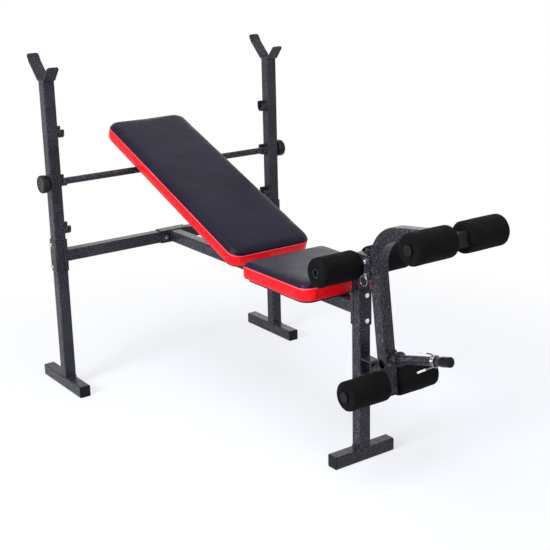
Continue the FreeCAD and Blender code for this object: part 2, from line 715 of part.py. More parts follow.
def clamp_fasteners():
    pairs = []
    for sign in (-1, 1):
        offset = f"{sign} * clamp_bolt_offset"
        upright_z = f"clamp_height + {offset}"
        left = f"-{OUTER_X} - clamp_plate"
        right = f"{INNER_X} - clamp_plate"
        rear = f"-{HALF} - clamp_plate"
        front = f"{POST_FRONT} - clamp_plate"
        pairs.append(clamp_fastener(f"bolt_left_{sign}", "X", left, ("0", "0", upright_z), False))
        pairs.append(clamp_fastener(f"bolt_right_{sign}", "X", right, ("0", "0", upright_z), True))
        pairs.append(clamp_fastener(f"bolt_rear_{sign}", "Y", rear, (offset, "0", "beam_height"), True))
        pairs.append(clamp_fastener(f"bolt_front_{sign}", "Y", front, ("0", "0", upright_z), True))
    piece("clamp_bolts", compound("clamp_bolts", *[bolt for bolt, _ in pairs]))
    piece("clamp_nuts", compound("clamp_nuts", *[nut for _, nut in pairs]))


# ---- beams ----------------------------------------------------------------------------------

def crossbeam():
    """Beam between the uprights with a clamp channel welded to each end."""
    reach = f"({INNER_X} - clamp_plate)"
    parts = [square_tube("crossbeam_tube", "X", f"2 * {reach}", (f"-{reach}", "0", "beam_height"))]
    for name, side in SIDES:
        at = (f"{side} * {INNER_X}", "0", "clamp_height")
        parts.append(channel(f"crossbeam_{name}", WELDED_DEPTH, X_AXIS * -side, Z_AXIS, at))
    holes = []
    for sign in (-1, 1):
        start = (f"{sign} * clamp_bolt_offset", "-tube", "beam_height")
        holes.append(cylinder(f"crossbeam_hole_{sign}", BOLT_HOLE, "2 * tube", start, "Y"))
    return piece("crossbeam", cut("crossbeam", fuse("crossbeam_weldment", *parts), *holes))


def hinge_ear(name, side):
    """Ear on the side of the main beam that carries the backrest's hinge rod."""
    x = f"{side} * ({HALF} + hinge_plate / 2)"
    height = f"({HINGE_Z} - beam_height)"
    centre = (x, HINGE_Y, f"beam_height + {height} / 2")
    plate = centred_box(name + "_plate", ("hinge_plate", "hinge_ear", height), centre)
    start = (f"{x} - hinge_plate / 2", HINGE_Y, HINGE_Z)
    return [plate, cylinder(name + "_eye", "hinge_ear", "hinge_plate", start, "X")]


def main_beam():
    """Beam under the pads with a clamp channel at each end and the backrest's hinge ears."""
    start = f"(-post_distance + {HALF} + clamp_plate)"
    length = f"-{start} - {HALF} - clamp_plate"
    parts = [square_tube("main_beam_tube", "Y", length, ("0", start, "beam_height"))]
    at = ("0", f"-{HALF}", "beam_height")
    parts.append(channel("main_beam_rear", WELDED_DEPTH, Y_AXIS * -1, X_AXIS, at))
    at = ("0", f"-post_distance + {HALF}", "clamp_height")
    parts.append(channel("main_beam_front", WELDED_DEPTH, Y_AXIS, Z_AXIS, at))
    for name, side in SIDES:
        parts.extend(hinge_ear("hinge_ear_" + name, side))
    bore_at = ("-tube", HINGE_Y, HINGE_Z)
    bore = cylinder("main_beam_bore", "hinge_rod + 2 * hinge_fit", "2 * tube", bore_at, "X")
    return piece("main_beam", cut("main_beam", fuse("main_beam_weldment", *parts), bore))


# ---- front post -----------------------------------------------------------------------------

def pivot_ear(name, side):
    """Ear on the front post's side: weld pad, plate with rounded front corners."""
    length = "(ear_overlap + ear_reach)"
    height = "(ear_top - ear_bottom)"
    middle_y = f"{POST_FRONT} + ear_overlap - {length} / 2"
    middle_z = "(ear_top + ear_bottom) / 2"
    x = f"{side} * ({EAR_X} + ear_plate / 2)"
    plate = centred_box(name + "_plate", ("ear_plate", length, height), (x, middle_y, middle_z))
    front = value(middle_y) - value(length) / 2

    def is_front_corner(edge):
        middle = edge.CenterOfMass
        return abs(edge.tangentAt(edge.FirstParameter).x) > 0.9 and abs(middle.y - front) < 0.01

    rounded = round_edges(name + "_rounded", plate, "ear_corner", is_front_corner)
    weld_size = ("seam", "ear_overlap", "ear_drop")
    weld_x = f"{side} * ({HALF} + seam / 2)"
    weld_at = (weld_x, f"{POST_FRONT} + ear_overlap / 2", "ear_bottom + ear_drop / 2")
    weld = centred_box(name + "_weld", weld_size, weld_at)
    return [rounded, weld]


BUMPER_RADIUS = "bumper_diameter / 2"
BUMPER_TOP = f"(pivot_height - bumper_height - {BUMPER_RADIUS})"
BUMPER_FRONT = (
    f"({PIVOT_Y} - ({ARM_BACK} + {BUMPER_TOP} * sin(arm_tilt)) / cos(arm_tilt) + seam)"
)
BRACKET_FRONT = f"({BUMPER_FRONT} + bumper_length)"


def bumper_bracket():
    """C-shaped bracket that holds the bumper before the post."""
    half = "(bracket_side / 2 - bracket_plate / 2)"
    front = f"{BRACKET_FRONT} + bracket_plate / 2"
    points = (
        (POST_FRONT, f"bumper_height + {half}"),
        (front, f"bumper_height + {half}"),
        (front, f"bumper_height - {half}"),
        (POST_FRONT, f"bumper_height - {half}"),
    )
    return strip("bumper_bracket", "YZ_Plane", points, "bracket_plate", "1.5 * bracket_plate", "bracket_width")


def front_post():
    """Front post with its foot, the pivot ears and the bumper's bracket, welded together."""
    foot_length = "(front_foot - 2 * cap_flange)"
    post_y = "-post_distance"
    foot = square_tube("post_foot", "X", foot_length, (f"-{foot_length} / 2", post_y, HALF))
    column = square_tube("post_column", "Z", "post_top - tube - tube_wall", ("0", post_y, "tube"))
    lid = square_tube("post_lid", "Z", "tube_wall", ("0", post_y, "post_top - tube_wall"))
    lid_size = ("tube - tube_wall", "tube - tube_wall", "tube_wall")
    lid_middle = centred_box("post_lid_middle", lid_size, ("0", post_y, "post_top - tube_wall / 2"))
    parts = [foot, column, lid, lid_middle, bumper_bracket()]
    for name, side in SIDES:
        parts.extend(pivot_ear("pivot_ear_" + name, side))
    holes = []
    for sign in (-1, 1):
        start = ("0", "-post_distance - tube", f"clamp_height + {sign} * clamp_bolt_offset")
        holes.append(cylinder(f"post_hole_{sign}", BOLT_HOLE, "2 * tube", start, "Y"))
    roller = ("-tube", post_y, "seat_roller_height")
    holes.append(cylinder("post_roller_hole", "roller_tube + 2 * bolt_fit", "2 * tube", roller, "X"))
    pivot = ("-tube", PIVOT_Y, "pivot_height")
    holes.append(cylinder("post_pivot_hole", "pivot_diameter + 2 * bolt_fit", "2 * tube", pivot, "X"))
    pin = ("-tube", PIN_Y, PIN_Z)
    holes.append(cylinder("post_pin_hole", "pin_diameter + 2 * pivot_fit", "2 * tube", pin, "X"))
    stud = ("0", f"{BRACKET_FRONT} - bracket_plate", "bumper_height")
    holes.append(cylinder("post_stud_hole", BOLT_HOLE, "3 * bracket_plate", stud, "Y"))
    piece("front_post", cut("front_post", fuse("post_weldment", *parts), *holes))
    caps = []
    for name, side in SIDES:
        end = f"{side} * {foot_length} / 2"
        caps.append(square_cap(f"front_cap_{name}", "X", end, side, ("0", post_y, HALF)))
    piece("front_foot_caps", compound("front_foot_caps", *caps))


def bumper():
    """Rubber bumper on its stud, with the nut behind the bracket."""
    start = ("0", BUMPER_FRONT, "bumper_height")
    rubber = cylinder("bumper_rubber", "bumper_diameter", "bumper_length", start, "Y")
    socket_depth = "(bumper_length / 2)"
    socket = ("0", f"{BRACKET_FRONT} - {socket_depth}", "bumper_height")
    hollow = cylinder("bumper_socket", "bolt_diameter", f"{socket_depth} + seam", socket, "Y")
    piece("arm_bumper", cut("arm_bumper", rubber, hollow))
    length = f"({socket_depth} + bracket_plate + nut_height + bolt_tip)"
    shank = cylinder("bumper_shank", "bolt_diameter", length, socket, "Y")
    nut_at = ("0", f"{BRACKET_FRONT} + bracket_plate", "bumper_height")
    nut = hexagon("bumper_nut", "bolt_flats", "nut_height", nut_at, "Y")
    piece("bumper_stud", fuse("bumper_stud", shank, nut))


# ---- pivot and lock pin ---------------------------------------------------------------------

def pivot_bolt():
    """Bolt through the ears and the arm's barrel, with its nut on the left."""
    grip = f"(2 * {EAR_OUTER})"
    low = f"-{EAR_OUTER}"
    nut = f"({low} - nut_height)"
    head_at = (EAR_OUTER, PIVOT_Y, "pivot_height")
    shank_at = (f"{nut} - bolt_tip", PIVOT_Y, "pivot_height")
    length = f"{grip} + nut_height + bolt_tip"
    head = hexagon("pivot_head", "pivot_flats", "bolt_head", head_at, "X")
    shank = cylinder("pivot_shank", "pivot_diameter", length, shank_at, "X")
    piece("pivot_bolt", fuse("pivot_bolt", head, shank))
    blank = hexagon("pivot_nut_blank", "pivot_flats", "nut_height", (nut, PIVOT_Y, "pivot_height"), "X")
    thread = cylinder("pivot_thread", "pivot_diameter", length, shank_at, "X")
    piece("pivot_nut", cut("pivot_nut", blank, thread))


TAB_X = f"(-{EAR_OUTER} - seam - pin_head_plate - pin_tab_length / 2)"


def lock_pin():
    """Pull pin through both ears, with a tab for its ring."""
    head_start = f"(-{EAR_OUTER} - seam - pin_head_plate)"
    shank_length = f"({EAR_OUTER} - {head_start} + ear_plate / 2)"
    shank = cylinder("pin_shank", "pin_diameter", shank_length, (head_start, PIN_Y, PIN_Z), "X")
    head = cylinder("pin_disc", "pin_head", "pin_head_plate", (head_start, PIN_Y, PIN_Z), "X")
    tab = centred_box("pin_tab", ("pin_tab_length", "pin_tab", "pin_tab_height"), (TAB_X, PIN_Y, PIN_Z))
    hole = cylinder("pin_ring_hole", "ring_hole", "2 * pin_tab", (TAB_X, f"{PIN_Y} - pin_tab", PIN_Z), "Y")
    piece("lock_pin", cut("lock_pin", fuse("pin_blank", shank, head, tab), hole))
    wire = doc.addObject("Part::Torus", "pull_ring_wire")
    bind(wire, Radius1="ring_radius", Radius2="ring_wire / 2")
    wire.Placement = Placement(Vector(), TURNS["X"])
    seat(wire, TAB_X, PIN_Y, f"{PIN_Z} - ring_radius")
    piece("pull_ring", compound("pull_ring", wire))


# ---- leg developer --------------------------------------------------------------------------

def arm_tube():
    """Bent square tube of the arm: its full outline, and the tube with rounded long edges."""
    points = (
        ("-arm_offset", "-arm_drop"),
        ("-arm_offset", UPPER_Z),
        ("-arm_reach", UPPER_Z),
    )
    inner = "tube - 2 * tube_wall"
    outside = strip("arm_outside", "YZ_Plane", points, "tube", "arm_bend", "tube")
    inside = strip("arm_inside", "YZ_Plane", points, inner, "arm_bend", inner)
    half = value(HALF)
    low = -value("arm_drop")
    front = -value("arm_reach")

    def is_long_edge(edge):
        middle = edge.CenterOfMass
        on_side = abs(abs(middle.x) - half) < 0.01
        return on_side and abs(middle.z - low) > half and abs(middle.y - front) > half

    rounded = round_edges("arm_rounded", outside, "tube_corner", is_long_edge)
    return outside, cut("arm_tube", rounded, inside)


def leg_arm():
    """Arm, bored for the rollers and the weight post's bolts, and the pivot barrel on its back."""
    outline, blank = arm_tube()
    across = "2 * tube"
    bore = "roller_tube + 2 * bolt_fit"
    upper = ("-tube", "-upper_roller", UPPER_Z)
    lower = ("-tube", "-arm_offset", "-lower_roller")
    spare = ("-tube", "-arm_offset", "-spare_hole")
    holes = [
        cylinder("arm_upper_bore", bore, across, upper, "X"),
        cylinder("arm_lower_bore", bore, across, lower, "X"),
        cylinder("arm_spare_bore", bore, across, spare, "X"),
    ]
    for x, z in base_bolt_places():
        start = (x, f"-{ARM_FACE} - tube_wall", z)
        length = "3 * tube_wall"
        holes.append(cylinder(f"arm_base_hole_{len(holes)}", BASE_HOLE, length, start, "Y"))
    piece("leg_arm", cut("leg_arm", blank, *holes), "arm")
    barrel = cylinder("barrel_blank", "barrel_diameter", "tube", (f"-{HALF}", "0", "0"), "X")
    axle = cylinder("barrel_bore", PIVOT_BORE, across, ("-tube", "0", "0"), "X")
    piece("pivot_barrel", cut("pivot_barrel", barrel, axle, outline), "arm")
    low_cap = square_cap("arm_cap_low", "Z", "-arm_drop", -1, ("0", "-arm_offset", "0"))
    top_cap = square_cap("arm_cap_top", "Y", "-arm_reach", -1, ("0", "0", UPPER_Z))
    piece("arm_caps", compound("arm_caps", low_cap, top_cap), "arm")


# ---- weight post ----------------------------------------------------------------------------

def base_bolt_places():
    """Places of the four bolts of the weight post's base plate on the arm."""
    places = []
    for sign_x in (-1, 1):
        for sign_z in (-1, 1):
            x = f"{sign_x} * base_bolt_offset"
            places.append((x, f"-weight_root + {sign_z} * base_bolt_offset"))
    return places


def spoke(name, diameter, along, length):
    """Cylinder on the weight post's axis, from a distance along it."""
    item = doc.addObject("Part::Cylinder", name)
    bind(item, Radius=f"({diameter}) / 2", Height=length)
    item.Placement = Placement(Vector(), Rotation(X_AXIS, 1))
    item.setExpression("Placement.Rotation.Angle", formula("90 - weight_tilt"))
    y = f"-{ARM_FACE} - ({along}) * cos(weight_tilt)"
    z = f"-weight_root + ({along}) * sin(weight_tilt)"
    return seat(item, "0", y, z)


def weight_post():
    """Post for weight plates: base plate, tube and stop flange welded, four bolts, end cap."""
    plate_size = ("base_width", "base_plate", "base_height")
    plate_at = ("0", f"-{ARM_FACE} - base_plate / 2", "-weight_root")
    plate = centred_box("weight_base", plate_size, plate_at)
    core_length = "weight_length - base_plate / 2 - cap_flange"
    core = spoke("weight_core", "roller_tube", "base_plate / 2", core_length)
    flange = spoke("weight_disc", "weight_flange", "weight_flange_place", "weight_flange_plate")
    hollow = spoke("weight_hollow", ROLLER_BORE, "weight_flange_place", "weight_length")
    holes = [hollow]
    bolts = []
    for x, z in base_bolt_places():
        number = len(bolts)
        start = (x, f"-{ARM_FACE} - 2 * base_plate", z)
        holes.append(cylinder(f"weight_hole_{number}", BASE_HOLE, "3 * base_plate", start, "Y"))
        head_at = (x, f"-{ARM_FACE} - base_plate - screw_head", z)
        head = hexagon(f"base_head_{number}", "base_bolt_flats", "screw_head", head_at, "Y")
        shank_length = "screw_head + base_plate + 3 * tube_wall"
        shank = cylinder(f"base_shank_{number}", "base_bolt", shank_length, head_at, "Y")
        bolts.append(fuse(f"base_bolt_{number}", head, shank))
    piece("weight_post", cut("weight_post", fuse("weight_weldment", plate, core, flange), *holes), "arm")
    piece("weight_post_bolts", compound("weight_post_bolts", *bolts), "arm")
    cap_place = "weight_length - weight_cap_length"
    sleeve = spoke("weight_sleeve", "weight_cap_diameter", cap_place, "weight_cap_length")
    room = spoke("weight_room", "roller_tube", "0", "weight_length - cap_flange")
    piece("weight_post_cap", cut("weight_post_cap", sleeve, room), "arm")


def spring_collar():
    """Spring collar: a coil of wire whose two ends carry a grip each."""
    wire = value("collar_wire")
    radius = value("roller_tube / 2 + stud_fit") + wire / 2
    pitch = wire * 1.02
    turns = value("collar_turns") - 0.5
    grip = value("collar_grip")
    grip_radius = value("collar_grip_diameter") / 2
    spread = radius + 2.2 * wire
    helix = Part.makeHelix(pitch, pitch * turns, radius)
    section = Part.Wire([Part.makeCircle(wire / 2, Vector(radius, 0, 0), Vector(0, 1, 0))])
    coil = Part.Wire(helix.Edges).makePipeShell([section], True, True)
    solids = [coil]
    handles = []
    for end, height in ((1, 0), (-1, pitch * turns)):
        root = Vector(end * radius, 0, height)
        knee = Vector(end * spread, 0, height + wire * 0.4)
        elbow = Vector(end * spread, 0, -0.9 * grip)
        for start, stop in ((root, knee), (knee, elbow)):
            run = stop - start
            solids.append(Part.makeCylinder(wire / 2, run.Length, start, run))
        for joint in (root, knee):
            solids.append(Part.makeSphere(wire / 2, joint))
        back = Vector(0, 0, -1)
        start = Vector(end * spread, 0, -0.5 * grip)
        sleeve = Part.makeCylinder(grip_radius, grip, start, back)
        handles.append(sleeve.cut(Part.makeCylinder(wire / 2, grip / 2, start, back)))
    body = solids[0].fuse(solids[1:]).removeSplitter()
    spin = Rotation(X_AXIS, 90 - value("weight_tilt")).multiply(Rotation(Z_AXIS, 90))
    along = value("collar_place")
    tilt = math.radians(value("weight_tilt"))
    y = -value(ARM_FACE) - along * math.cos(tilt)
    z = -value("weight_root") + along * math.sin(tilt)
    for label, shape in (("spring_collar", body), ("collar_grips", Part.makeCompound(handles))):
        own = doc.addObject("Part::Feature", label + "_shape")
        own.Shape = shape
        own.Placement = Placement(Vector(0, y, z), spin)
        piece(label, compound(label, own), "arm")


# ---- rollers --------------------------------------------------------------------------------

ROLLERS = (
    # name, frame, y, z, distance of the foam's inner end from the middle, round caps
    ("seat", "bench", "-post_distance", "seat_roller_height", f"({EAR_OUTER} + seam)", False),
    ("upper", "arm", "-upper_roller", UPPER_Z, f"({HALF} + foam_gap)", True),
    ("lower", "arm", "-arm_offset", "-lower_roller", f"({HALF} + foam_gap)", True),
)


def foam_roller(label, frame, start, y, z):
    """Foam roller with rounded ends round its tube."""
    blank = cylinder(label + "_blank", "foam_diameter", "foam_length", (start, y, z), "X")
    radius = value("foam_diameter") / 2
    rounded = round_edges(
        label + "_rounded", blank, "foam_round",
        lambda edge: abs(edge.Length - 2 * math.pi * radius) < 0.01,
    )
    bore_start = (f"{start} - seam", y, z)
    bore_size = ("roller_tube + 2 * foam_fit", "foam_length + 2 * seam")
    bore = cylinder(label + "_bore", *bore_size, bore_start, "X")
    piece(label, cut(label, rounded, bore), frame)


def rollers():
    for name, frame, y, z, inner, capped in ROLLERS:
        reach = f"({inner} + foam_length + seam)"
        tube_start = (f"-{reach}", y, z)
        tube = ring(f"{name}_tube", "roller_tube", ROLLER_BORE, f"2 * {reach}", tube_start, "X")
        piece(f"{name}_roller_tube", compound(f"{name}_roller_tube", tube), frame)
        caps = []
        for side_name, side in SIDES:
            start = inner if side > 0 else f"-{inner} - foam_length"
            foam_roller(f"foam_{name}_{side_name}", frame, start, y, z)
            if capped:
                cap_at = (reach if side > 0 else f"-{reach} - roller_cap_length", y, z)
                plug_at = (f"{reach} - cap_plug" if side > 0 else f"-{reach}", y, z)
                disc_size = ("roller_cap_diameter", "roller_cap_length")
                plug_size = (f"{ROLLER_BORE} - 2 * seam", "cap_plug")
                disc = cylinder(f"{name}_cap_disc_{side}", *disc_size, cap_at, "X")
                plug = cylinder(f"{name}_cap_plug_{side}", *plug_size, plug_at, "X")
                caps.append(fuse(f"{name}_cap_{side_name}", disc, plug))
        if capped:
            piece(f"{name}_roller_caps", compound(f"{name}_roller_caps", *caps), frame)


# ---- pads -----------------------------------------------------------------------------------

def slab(name, width, length, height, corner, at):
    """Rounded slab from its underside's middle."""
    body = new_body(name)
    sketch = new_sketch(body, "XY_Plane")
    add_rectangle(sketch, width, length, corner, "outline")
    pad(body, sketch, height)
    return seat(body, *at)


def cushion(label, width, length, at, frame):
    """Cushion with a crowned top that wraps its board, and the board itself."""
    y, z = at
    block = slab(label + "_block", width, length, "band + crown", "pad_corner", ("0", y, z))
    top = value(z) + value("band + crown")
    rounded = round_edges(
        label + "_rounded", block, "crown_round",
        lambda edge: all(abs(vertex.Z - top) < 0.01 for vertex in edge.Vertexes),
    )
    inset = "2 * board_inset"
    room_size = (f"{width} - {inset} + 2 * seam", f"{length} - {inset} + 2 * seam")
    corner = "pad_corner - board_inset"
    room_at = ("0", y, f"{z} - seam")
    room = slab(label + "_room", *room_size, "board + 2 * seam", f"{corner} + seam", room_at)
    piece(f"{label}_cushion", cut(f"{label}_cushion", rounded, room), frame)
    panel_size = (f"{width} - {inset}", f"{length} - {inset}")
    return slab(label + "_panel", *panel_size, "board", corner, ("0", y, z))


def pad_screws(label, places, head_z, length, frame):
    """Hexagon screws from below into a board; returns tools for their clearance holes."""
    screws = []
    holes = []
    for x, y in places:
        number = len(screws)
        at = (x, y, head_z)
        head = hexagon(f"{label}_head_{number}", "screw_flats", "screw_head", at)
        shank = cylinder(f"{label}_shank_{number}", "screw_diameter", length, at)
        screws.append(fuse(f"{label}_{number}", head, shank))
        holes.append(cylinder(f"{label}_hole_{number}", "screw_diameter + 2 * bolt_fit", length, at))
    piece(label, compound(label, *screws), frame)
    return holes


def bored_board(label, panel, places, low, frame):
    """Board with blind holes for its screws."""
    holes = []
    for x, y in places:
        start = (x, y, f"{low} - seam")
        holes.append(cylinder(f"{label}_bore_{len(holes)}", "screw_diameter", "screw_depth + seam", start))
    piece(label, cut(label, panel, *holes), frame)


def seat_pad():
    """Seat: cushion on its board, on two straps across the main beam."""
    panel = cushion("seat", "seat_width", "seat_length", (SEAT_Y, BOARD_LOW), "bench")
    strap_places = []
    screw_places = []
    for sign in (-1, 1):
        y = f"({SEAT_Y} + {sign} * (seat_length / 2 - strap_inset))"
        strap_places.append(y)
        for side in (-1, 1):
            screw_places.append((f"{side} * (strap_length / 2 - screw_inset)", y))
    bored_board("seat_board", panel, screw_places, BOARD_LOW, "bench")
    head_z = f"({BEAM_TOP} - screw_head)"
    length = "screw_head + strap_plate + screw_depth"
    holes = pad_screws("seat_screws", screw_places, head_z, length, "bench")
    straps = []
    for index, y in enumerate(strap_places):
        size = ("strap_length", "strap_width", "strap_plate")
        blank = centred_box(f"strap_blank_{index}", size, ("0", y, f"{BEAM_TOP} + strap_plate / 2"))
        straps.append(cut(f"strap_{index}", blank, *holes[2 * index:2 * index + 2]))
    piece("seat_straps", compound("seat_straps", *straps))


def hinge_lug(name, side):
    """Lug on a rail's inner side that turns on the hinge rod."""
    inner = "(rail_spacing / 2 - rail_width / 2 - hinge_plate)"
    low = f"({inner})" if side > 0 else f"(-{inner} - hinge_plate)"
    eye = cylinder(name + "_eye", "hinge_ear", "hinge_plate", (low, "0", "0"), "X")
    size = ("hinge_plate", "lug_length", "rail_height")
    plate = box(name + "_plate", size, (low, "0", "hinge_drop - rail_height"))
    heel_size = ("hinge_plate", "hinge_ear / 2", "hinge_drop")
    heel = box(name + "_heel", heel_size, (low, "-hinge_ear / 2", "0"))
    return [eye, plate, heel]


def backrest():
    """Backrest: cushion on its board, on two rails that turn on the hinge rod."""
    centre = "(backrest_length / 2 - hinge_inset)"
    panel = cushion("backrest", "backrest_width", "backrest_length", (centre, "hinge_drop"), "backrest")
    places = []
    rails = []
    for name, side in SIDES:
        x = f"{side} * rail_spacing / 2"
        for y in ("rail_start + lug_length + screw_inset", "rail_start + rail_length - 2 * screw_inset"):
            places.append((x, f"({y})"))
    bored_board("backrest_board", panel, places, "hinge_drop", "backrest")
    head_z = "(hinge_drop - rail_height - screw_head)"
    length = "screw_head + rail_height + screw_depth"
    holes = pad_screws("backrest_screws", places, head_z, length, "backrest")
    for index, (name, side) in enumerate(SIDES):
        x = f"{side} * rail_spacing / 2"
        start = (x, "rail_start", "hinge_drop - rail_height / 2")
        section = ("rail_width", "rail_height", "rail_wall", "tube_corner / 2")
        rail = square_tube(f"rail_{name}", "Y", "rail_length", start, *section)
        lug = hinge_lug(f"lug_{name}", side)
        bore_at = ("-rail_spacing", "0", "0")
        bore = cylinder(f"lug_bore_{name}", "hinge_rod + 2 * hinge_fit", "2 * rail_spacing", bore_at, "X")
        weldment = fuse(f"rail_weldment_{name}", rail, *lug)
        rails.append(cut(f"backrest_rail_{name}", weldment, bore, *holes[2 * index:2 * index + 2]))
    piece("backrest_rails", compound("backrest_rails", *rails), "backrest")


def hinge_rod():
    """Rod through the main beam's hinge ears and the rails' lugs, with a nut at each end."""
    reach = "(rail_spacing / 2 - rail_width / 2 + seam)"
    length = f"2 * ({reach} + nut_height + bolt_tip)"
    start = (f"-({reach} + nut_height + bolt_tip)", HINGE_Y, HINGE_Z)
    rod = cylinder("hinge_rod_bar", "hinge_rod", length, start, "X")
    piece("hinge_rod", compound("hinge_rod", rod))
    nuts = []
    for name, side in SIDES:
        low = reach if side > 0 else f"-{reach} - nut_height"
        nut_at = (low, HINGE_Y, HINGE_Z)
        blank = hexagon(f"hinge_nut_blank_{name}", "pivot_flats", "nut_height", nut_at, "X")
        thread = cylinder(f"hinge_thread_{name}", "hinge_rod", length, start, "X")
        nuts.append(cut(f"hinge_nut_{name}", blank, thread))
    piece("hinge_nuts", compound("hinge_nuts", *nuts))


# ---- support bar and knobs ------------------------------------------------------------------

def support_bar():
    """Bar in the middle saddles that the backrest leans on, with a threaded insert at each end."""
    reach = f"({INNER_X} - seam)"
    insert = "(stud_engaged + tube / 4)"
    rod = cylinder("bar_rod", "bar_diameter", f"2 * {reach}", (f"-{reach}", "0", BAR_Z), "X")
    hollow_size = ("bar_diameter - 2 * bar_wall", f"2 * ({reach} - {insert})")
    hollow_at = (f"-{reach} + {insert}", "0", BAR_Z)
    tools = [cylinder("bar_hollow", *hollow_size, hollow_at, "X")]
    for name, side in SIDES:
        depth = "(stud_engaged + bolt_tip)"
        start = f"{reach} - {depth}" if side > 0 else f"-{reach} - seam"
        size = "stud_diameter + 2 * stud_fit"
        tools.append(cylinder(f"bar_thread_{name}", size, f"{depth} + seam", (start, "0", BAR_Z), "X"))
    piece("support_bar", cut("support_bar", rod, *tools))


def knob(label, side):
    """Lobed hand knob on its threaded stud."""
    body = new_body(label + "_grip")
    core_sketch = new_sketch(body, "YZ_Plane", "CoreSketch")
    add_circle(core_sketch, "knob_diameter", "core")
    pad(body, core_sketch, "knob_height")
    lobe_sketch = new_sketch(body, "YZ_Plane", "LobeSketch")
    add_circle(lobe_sketch, "knob_lobe", "lobe", x="knob_reach - knob_lobe / 2")
    lobe = pad(body, lobe_sketch, "knob_height")
    pattern = body.newObject("PartDesign::PolarPattern", "Lobes")
    pattern.Originals = [lobe]
    axis = next(item for item in body.Origin.OriginFeatures if item.Role == "X_Axis")
    pattern.Axis = (axis, [""])
    pattern.Angle = 360
    pattern.Occurrences = 6
    body.Tip = pattern
    face = f"({OUTER_X} + seam)"
    grip_start = f"{face} + knob_neck"
    outward = X_AXIS * side
    turned(body, outward, Z_AXIS)
    seat(body, f"{side} * ({grip_start})", "0", BAR_Z)
    doc.recompute()
    ends = [side * value(grip_start), side * value(f"{grip_start} + knob_height")]

    def is_rim(edge):
        return min(abs(edge.CenterOfMass.x - end) for end in ends) < 0.01

    rounded = round_edges(label + "_rounded", body, "knob_round", is_rim)
    neck_start = face if side > 0 else f"-{face} - knob_neck"
    neck = cylinder(label + "_neck", "tube - 2 * tube_corner", "knob_neck", (neck_start, "0", BAR_Z), "X")
    stud_outer = f"({grip_start} + knob_height / 2)"
    stud_inner = f"({INNER_X} - seam - stud_engaged)"
    stud_length = f"{stud_outer} - {stud_inner}"
    stud_start = stud_inner if side > 0 else f"-{stud_outer}"
    socket_at = (stud_start, "0", BAR_Z)
    socket = cylinder(label + "_socket", "stud_diameter + 2 * stud_fit", stud_length, socket_at, "X")
    piece(label, cut(label, fuse(label + "_blank", rounded, neck), socket))
    stud_at = (stud_start if side > 0 else f"{stud_start} + seam", "0", BAR_Z)
    stud = cylinder(f"{label}_stud_bar", "stud_diameter", f"{stud_length} - seam", stud_at, "X")
    piece(f"{label}_stud", compound(f"{label}_stud", stud))


# ---- build ----------------------------------------------------------------------------------

def build():
    for name, side in SIDES:
        rack_upright(f"rack_upright_{name}", side)
    rack_foot_caps()
    crossbeam()
    clamp_channels()
    clamp_fasteners()
    main_beam()
    front_post()
    bumper()
    pivot_bolt()
    lock_pin()
    leg_arm()
    weight_post()
    spring_collar()
    rollers()
    seat_pad()
    backrest()
    hinge_rod()
    support_bar()
    for name, side in SIDES:
        knob(f"knob_{name}", side)


def check():
    """Stop if any object failed or any sub-part has no valid solid."""
    doc.recompute()
    for item in doc.Objects:
        if "Invalid" in item.State or "Error" in item.State:
            raise RuntimeError(f"{item.Label} failed: {item.State}")
    for item in PIECES:
        shape = item.Shape
        if shape.isNull() or not shape.isValid() or not shape.Solids:
            raise RuntimeError(f"{item.Label} has no valid solid")


build()
check()
os.makedirs("parts", exist_ok=True)
for item in PIECES:
    item.Shape.exportStep(f"parts/{item.Label}.step")

bounds = FreeCAD.BoundBox()
for item in PIECES:
    bounds.add(item.Shape.BoundBox)
print(f"{len(PIECES)} sub-parts, {bounds.XLength:.1f} x {bounds.YLength:.1f} x {bounds.ZLength:.1f} mm")
print(f"X {bounds.XMin:.1f} to {bounds.XMax:.1f}, Y {bounds.YMin:.1f} to {bounds.YMax:.1f}, "
      f"Z {bounds.ZMin:.1f} to {bounds.ZMax:.1f}")
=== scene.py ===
import json
import math

import bmesh
import bpy
from mathutils import Matrix, Vector, noise

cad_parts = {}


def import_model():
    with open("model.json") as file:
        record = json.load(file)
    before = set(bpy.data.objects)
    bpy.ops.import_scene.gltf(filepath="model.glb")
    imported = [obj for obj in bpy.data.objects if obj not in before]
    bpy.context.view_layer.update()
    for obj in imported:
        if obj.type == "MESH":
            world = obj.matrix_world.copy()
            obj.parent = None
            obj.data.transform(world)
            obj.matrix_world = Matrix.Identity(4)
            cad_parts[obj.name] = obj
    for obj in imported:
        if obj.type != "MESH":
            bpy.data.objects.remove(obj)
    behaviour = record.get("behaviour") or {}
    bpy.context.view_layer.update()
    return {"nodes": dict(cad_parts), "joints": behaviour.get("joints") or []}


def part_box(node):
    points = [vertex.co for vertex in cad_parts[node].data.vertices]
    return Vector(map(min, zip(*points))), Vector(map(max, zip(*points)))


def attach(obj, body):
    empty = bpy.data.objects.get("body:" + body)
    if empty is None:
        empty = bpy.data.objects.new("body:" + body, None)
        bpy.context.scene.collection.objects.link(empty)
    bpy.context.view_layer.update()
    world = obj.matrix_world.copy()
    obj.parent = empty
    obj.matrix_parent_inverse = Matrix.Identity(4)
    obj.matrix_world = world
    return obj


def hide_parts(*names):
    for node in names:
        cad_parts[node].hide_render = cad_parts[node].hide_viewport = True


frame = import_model()

MM = 0.001
NODES = frame["nodes"]
JOINTS = {joint["name"]: joint for joint in frame["joints"]}

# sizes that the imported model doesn't name
BACKREST_TILT = math.radians(21.4)
BACKREST_LENGTH = 826 * MM
BAND_LOW = 6 * MM
BAND_TOP = 41 * MM
TOP_ROUND = 11 * MM
CROWN = 3.5 * MM
PAD_CORNER = 38 * MM
SEAT_REAR_CORNER = 15 * MM
PIPING = 1.9 * MM
TUBE = 12.9 * MM
TUBE_SIDE = 38 * MM

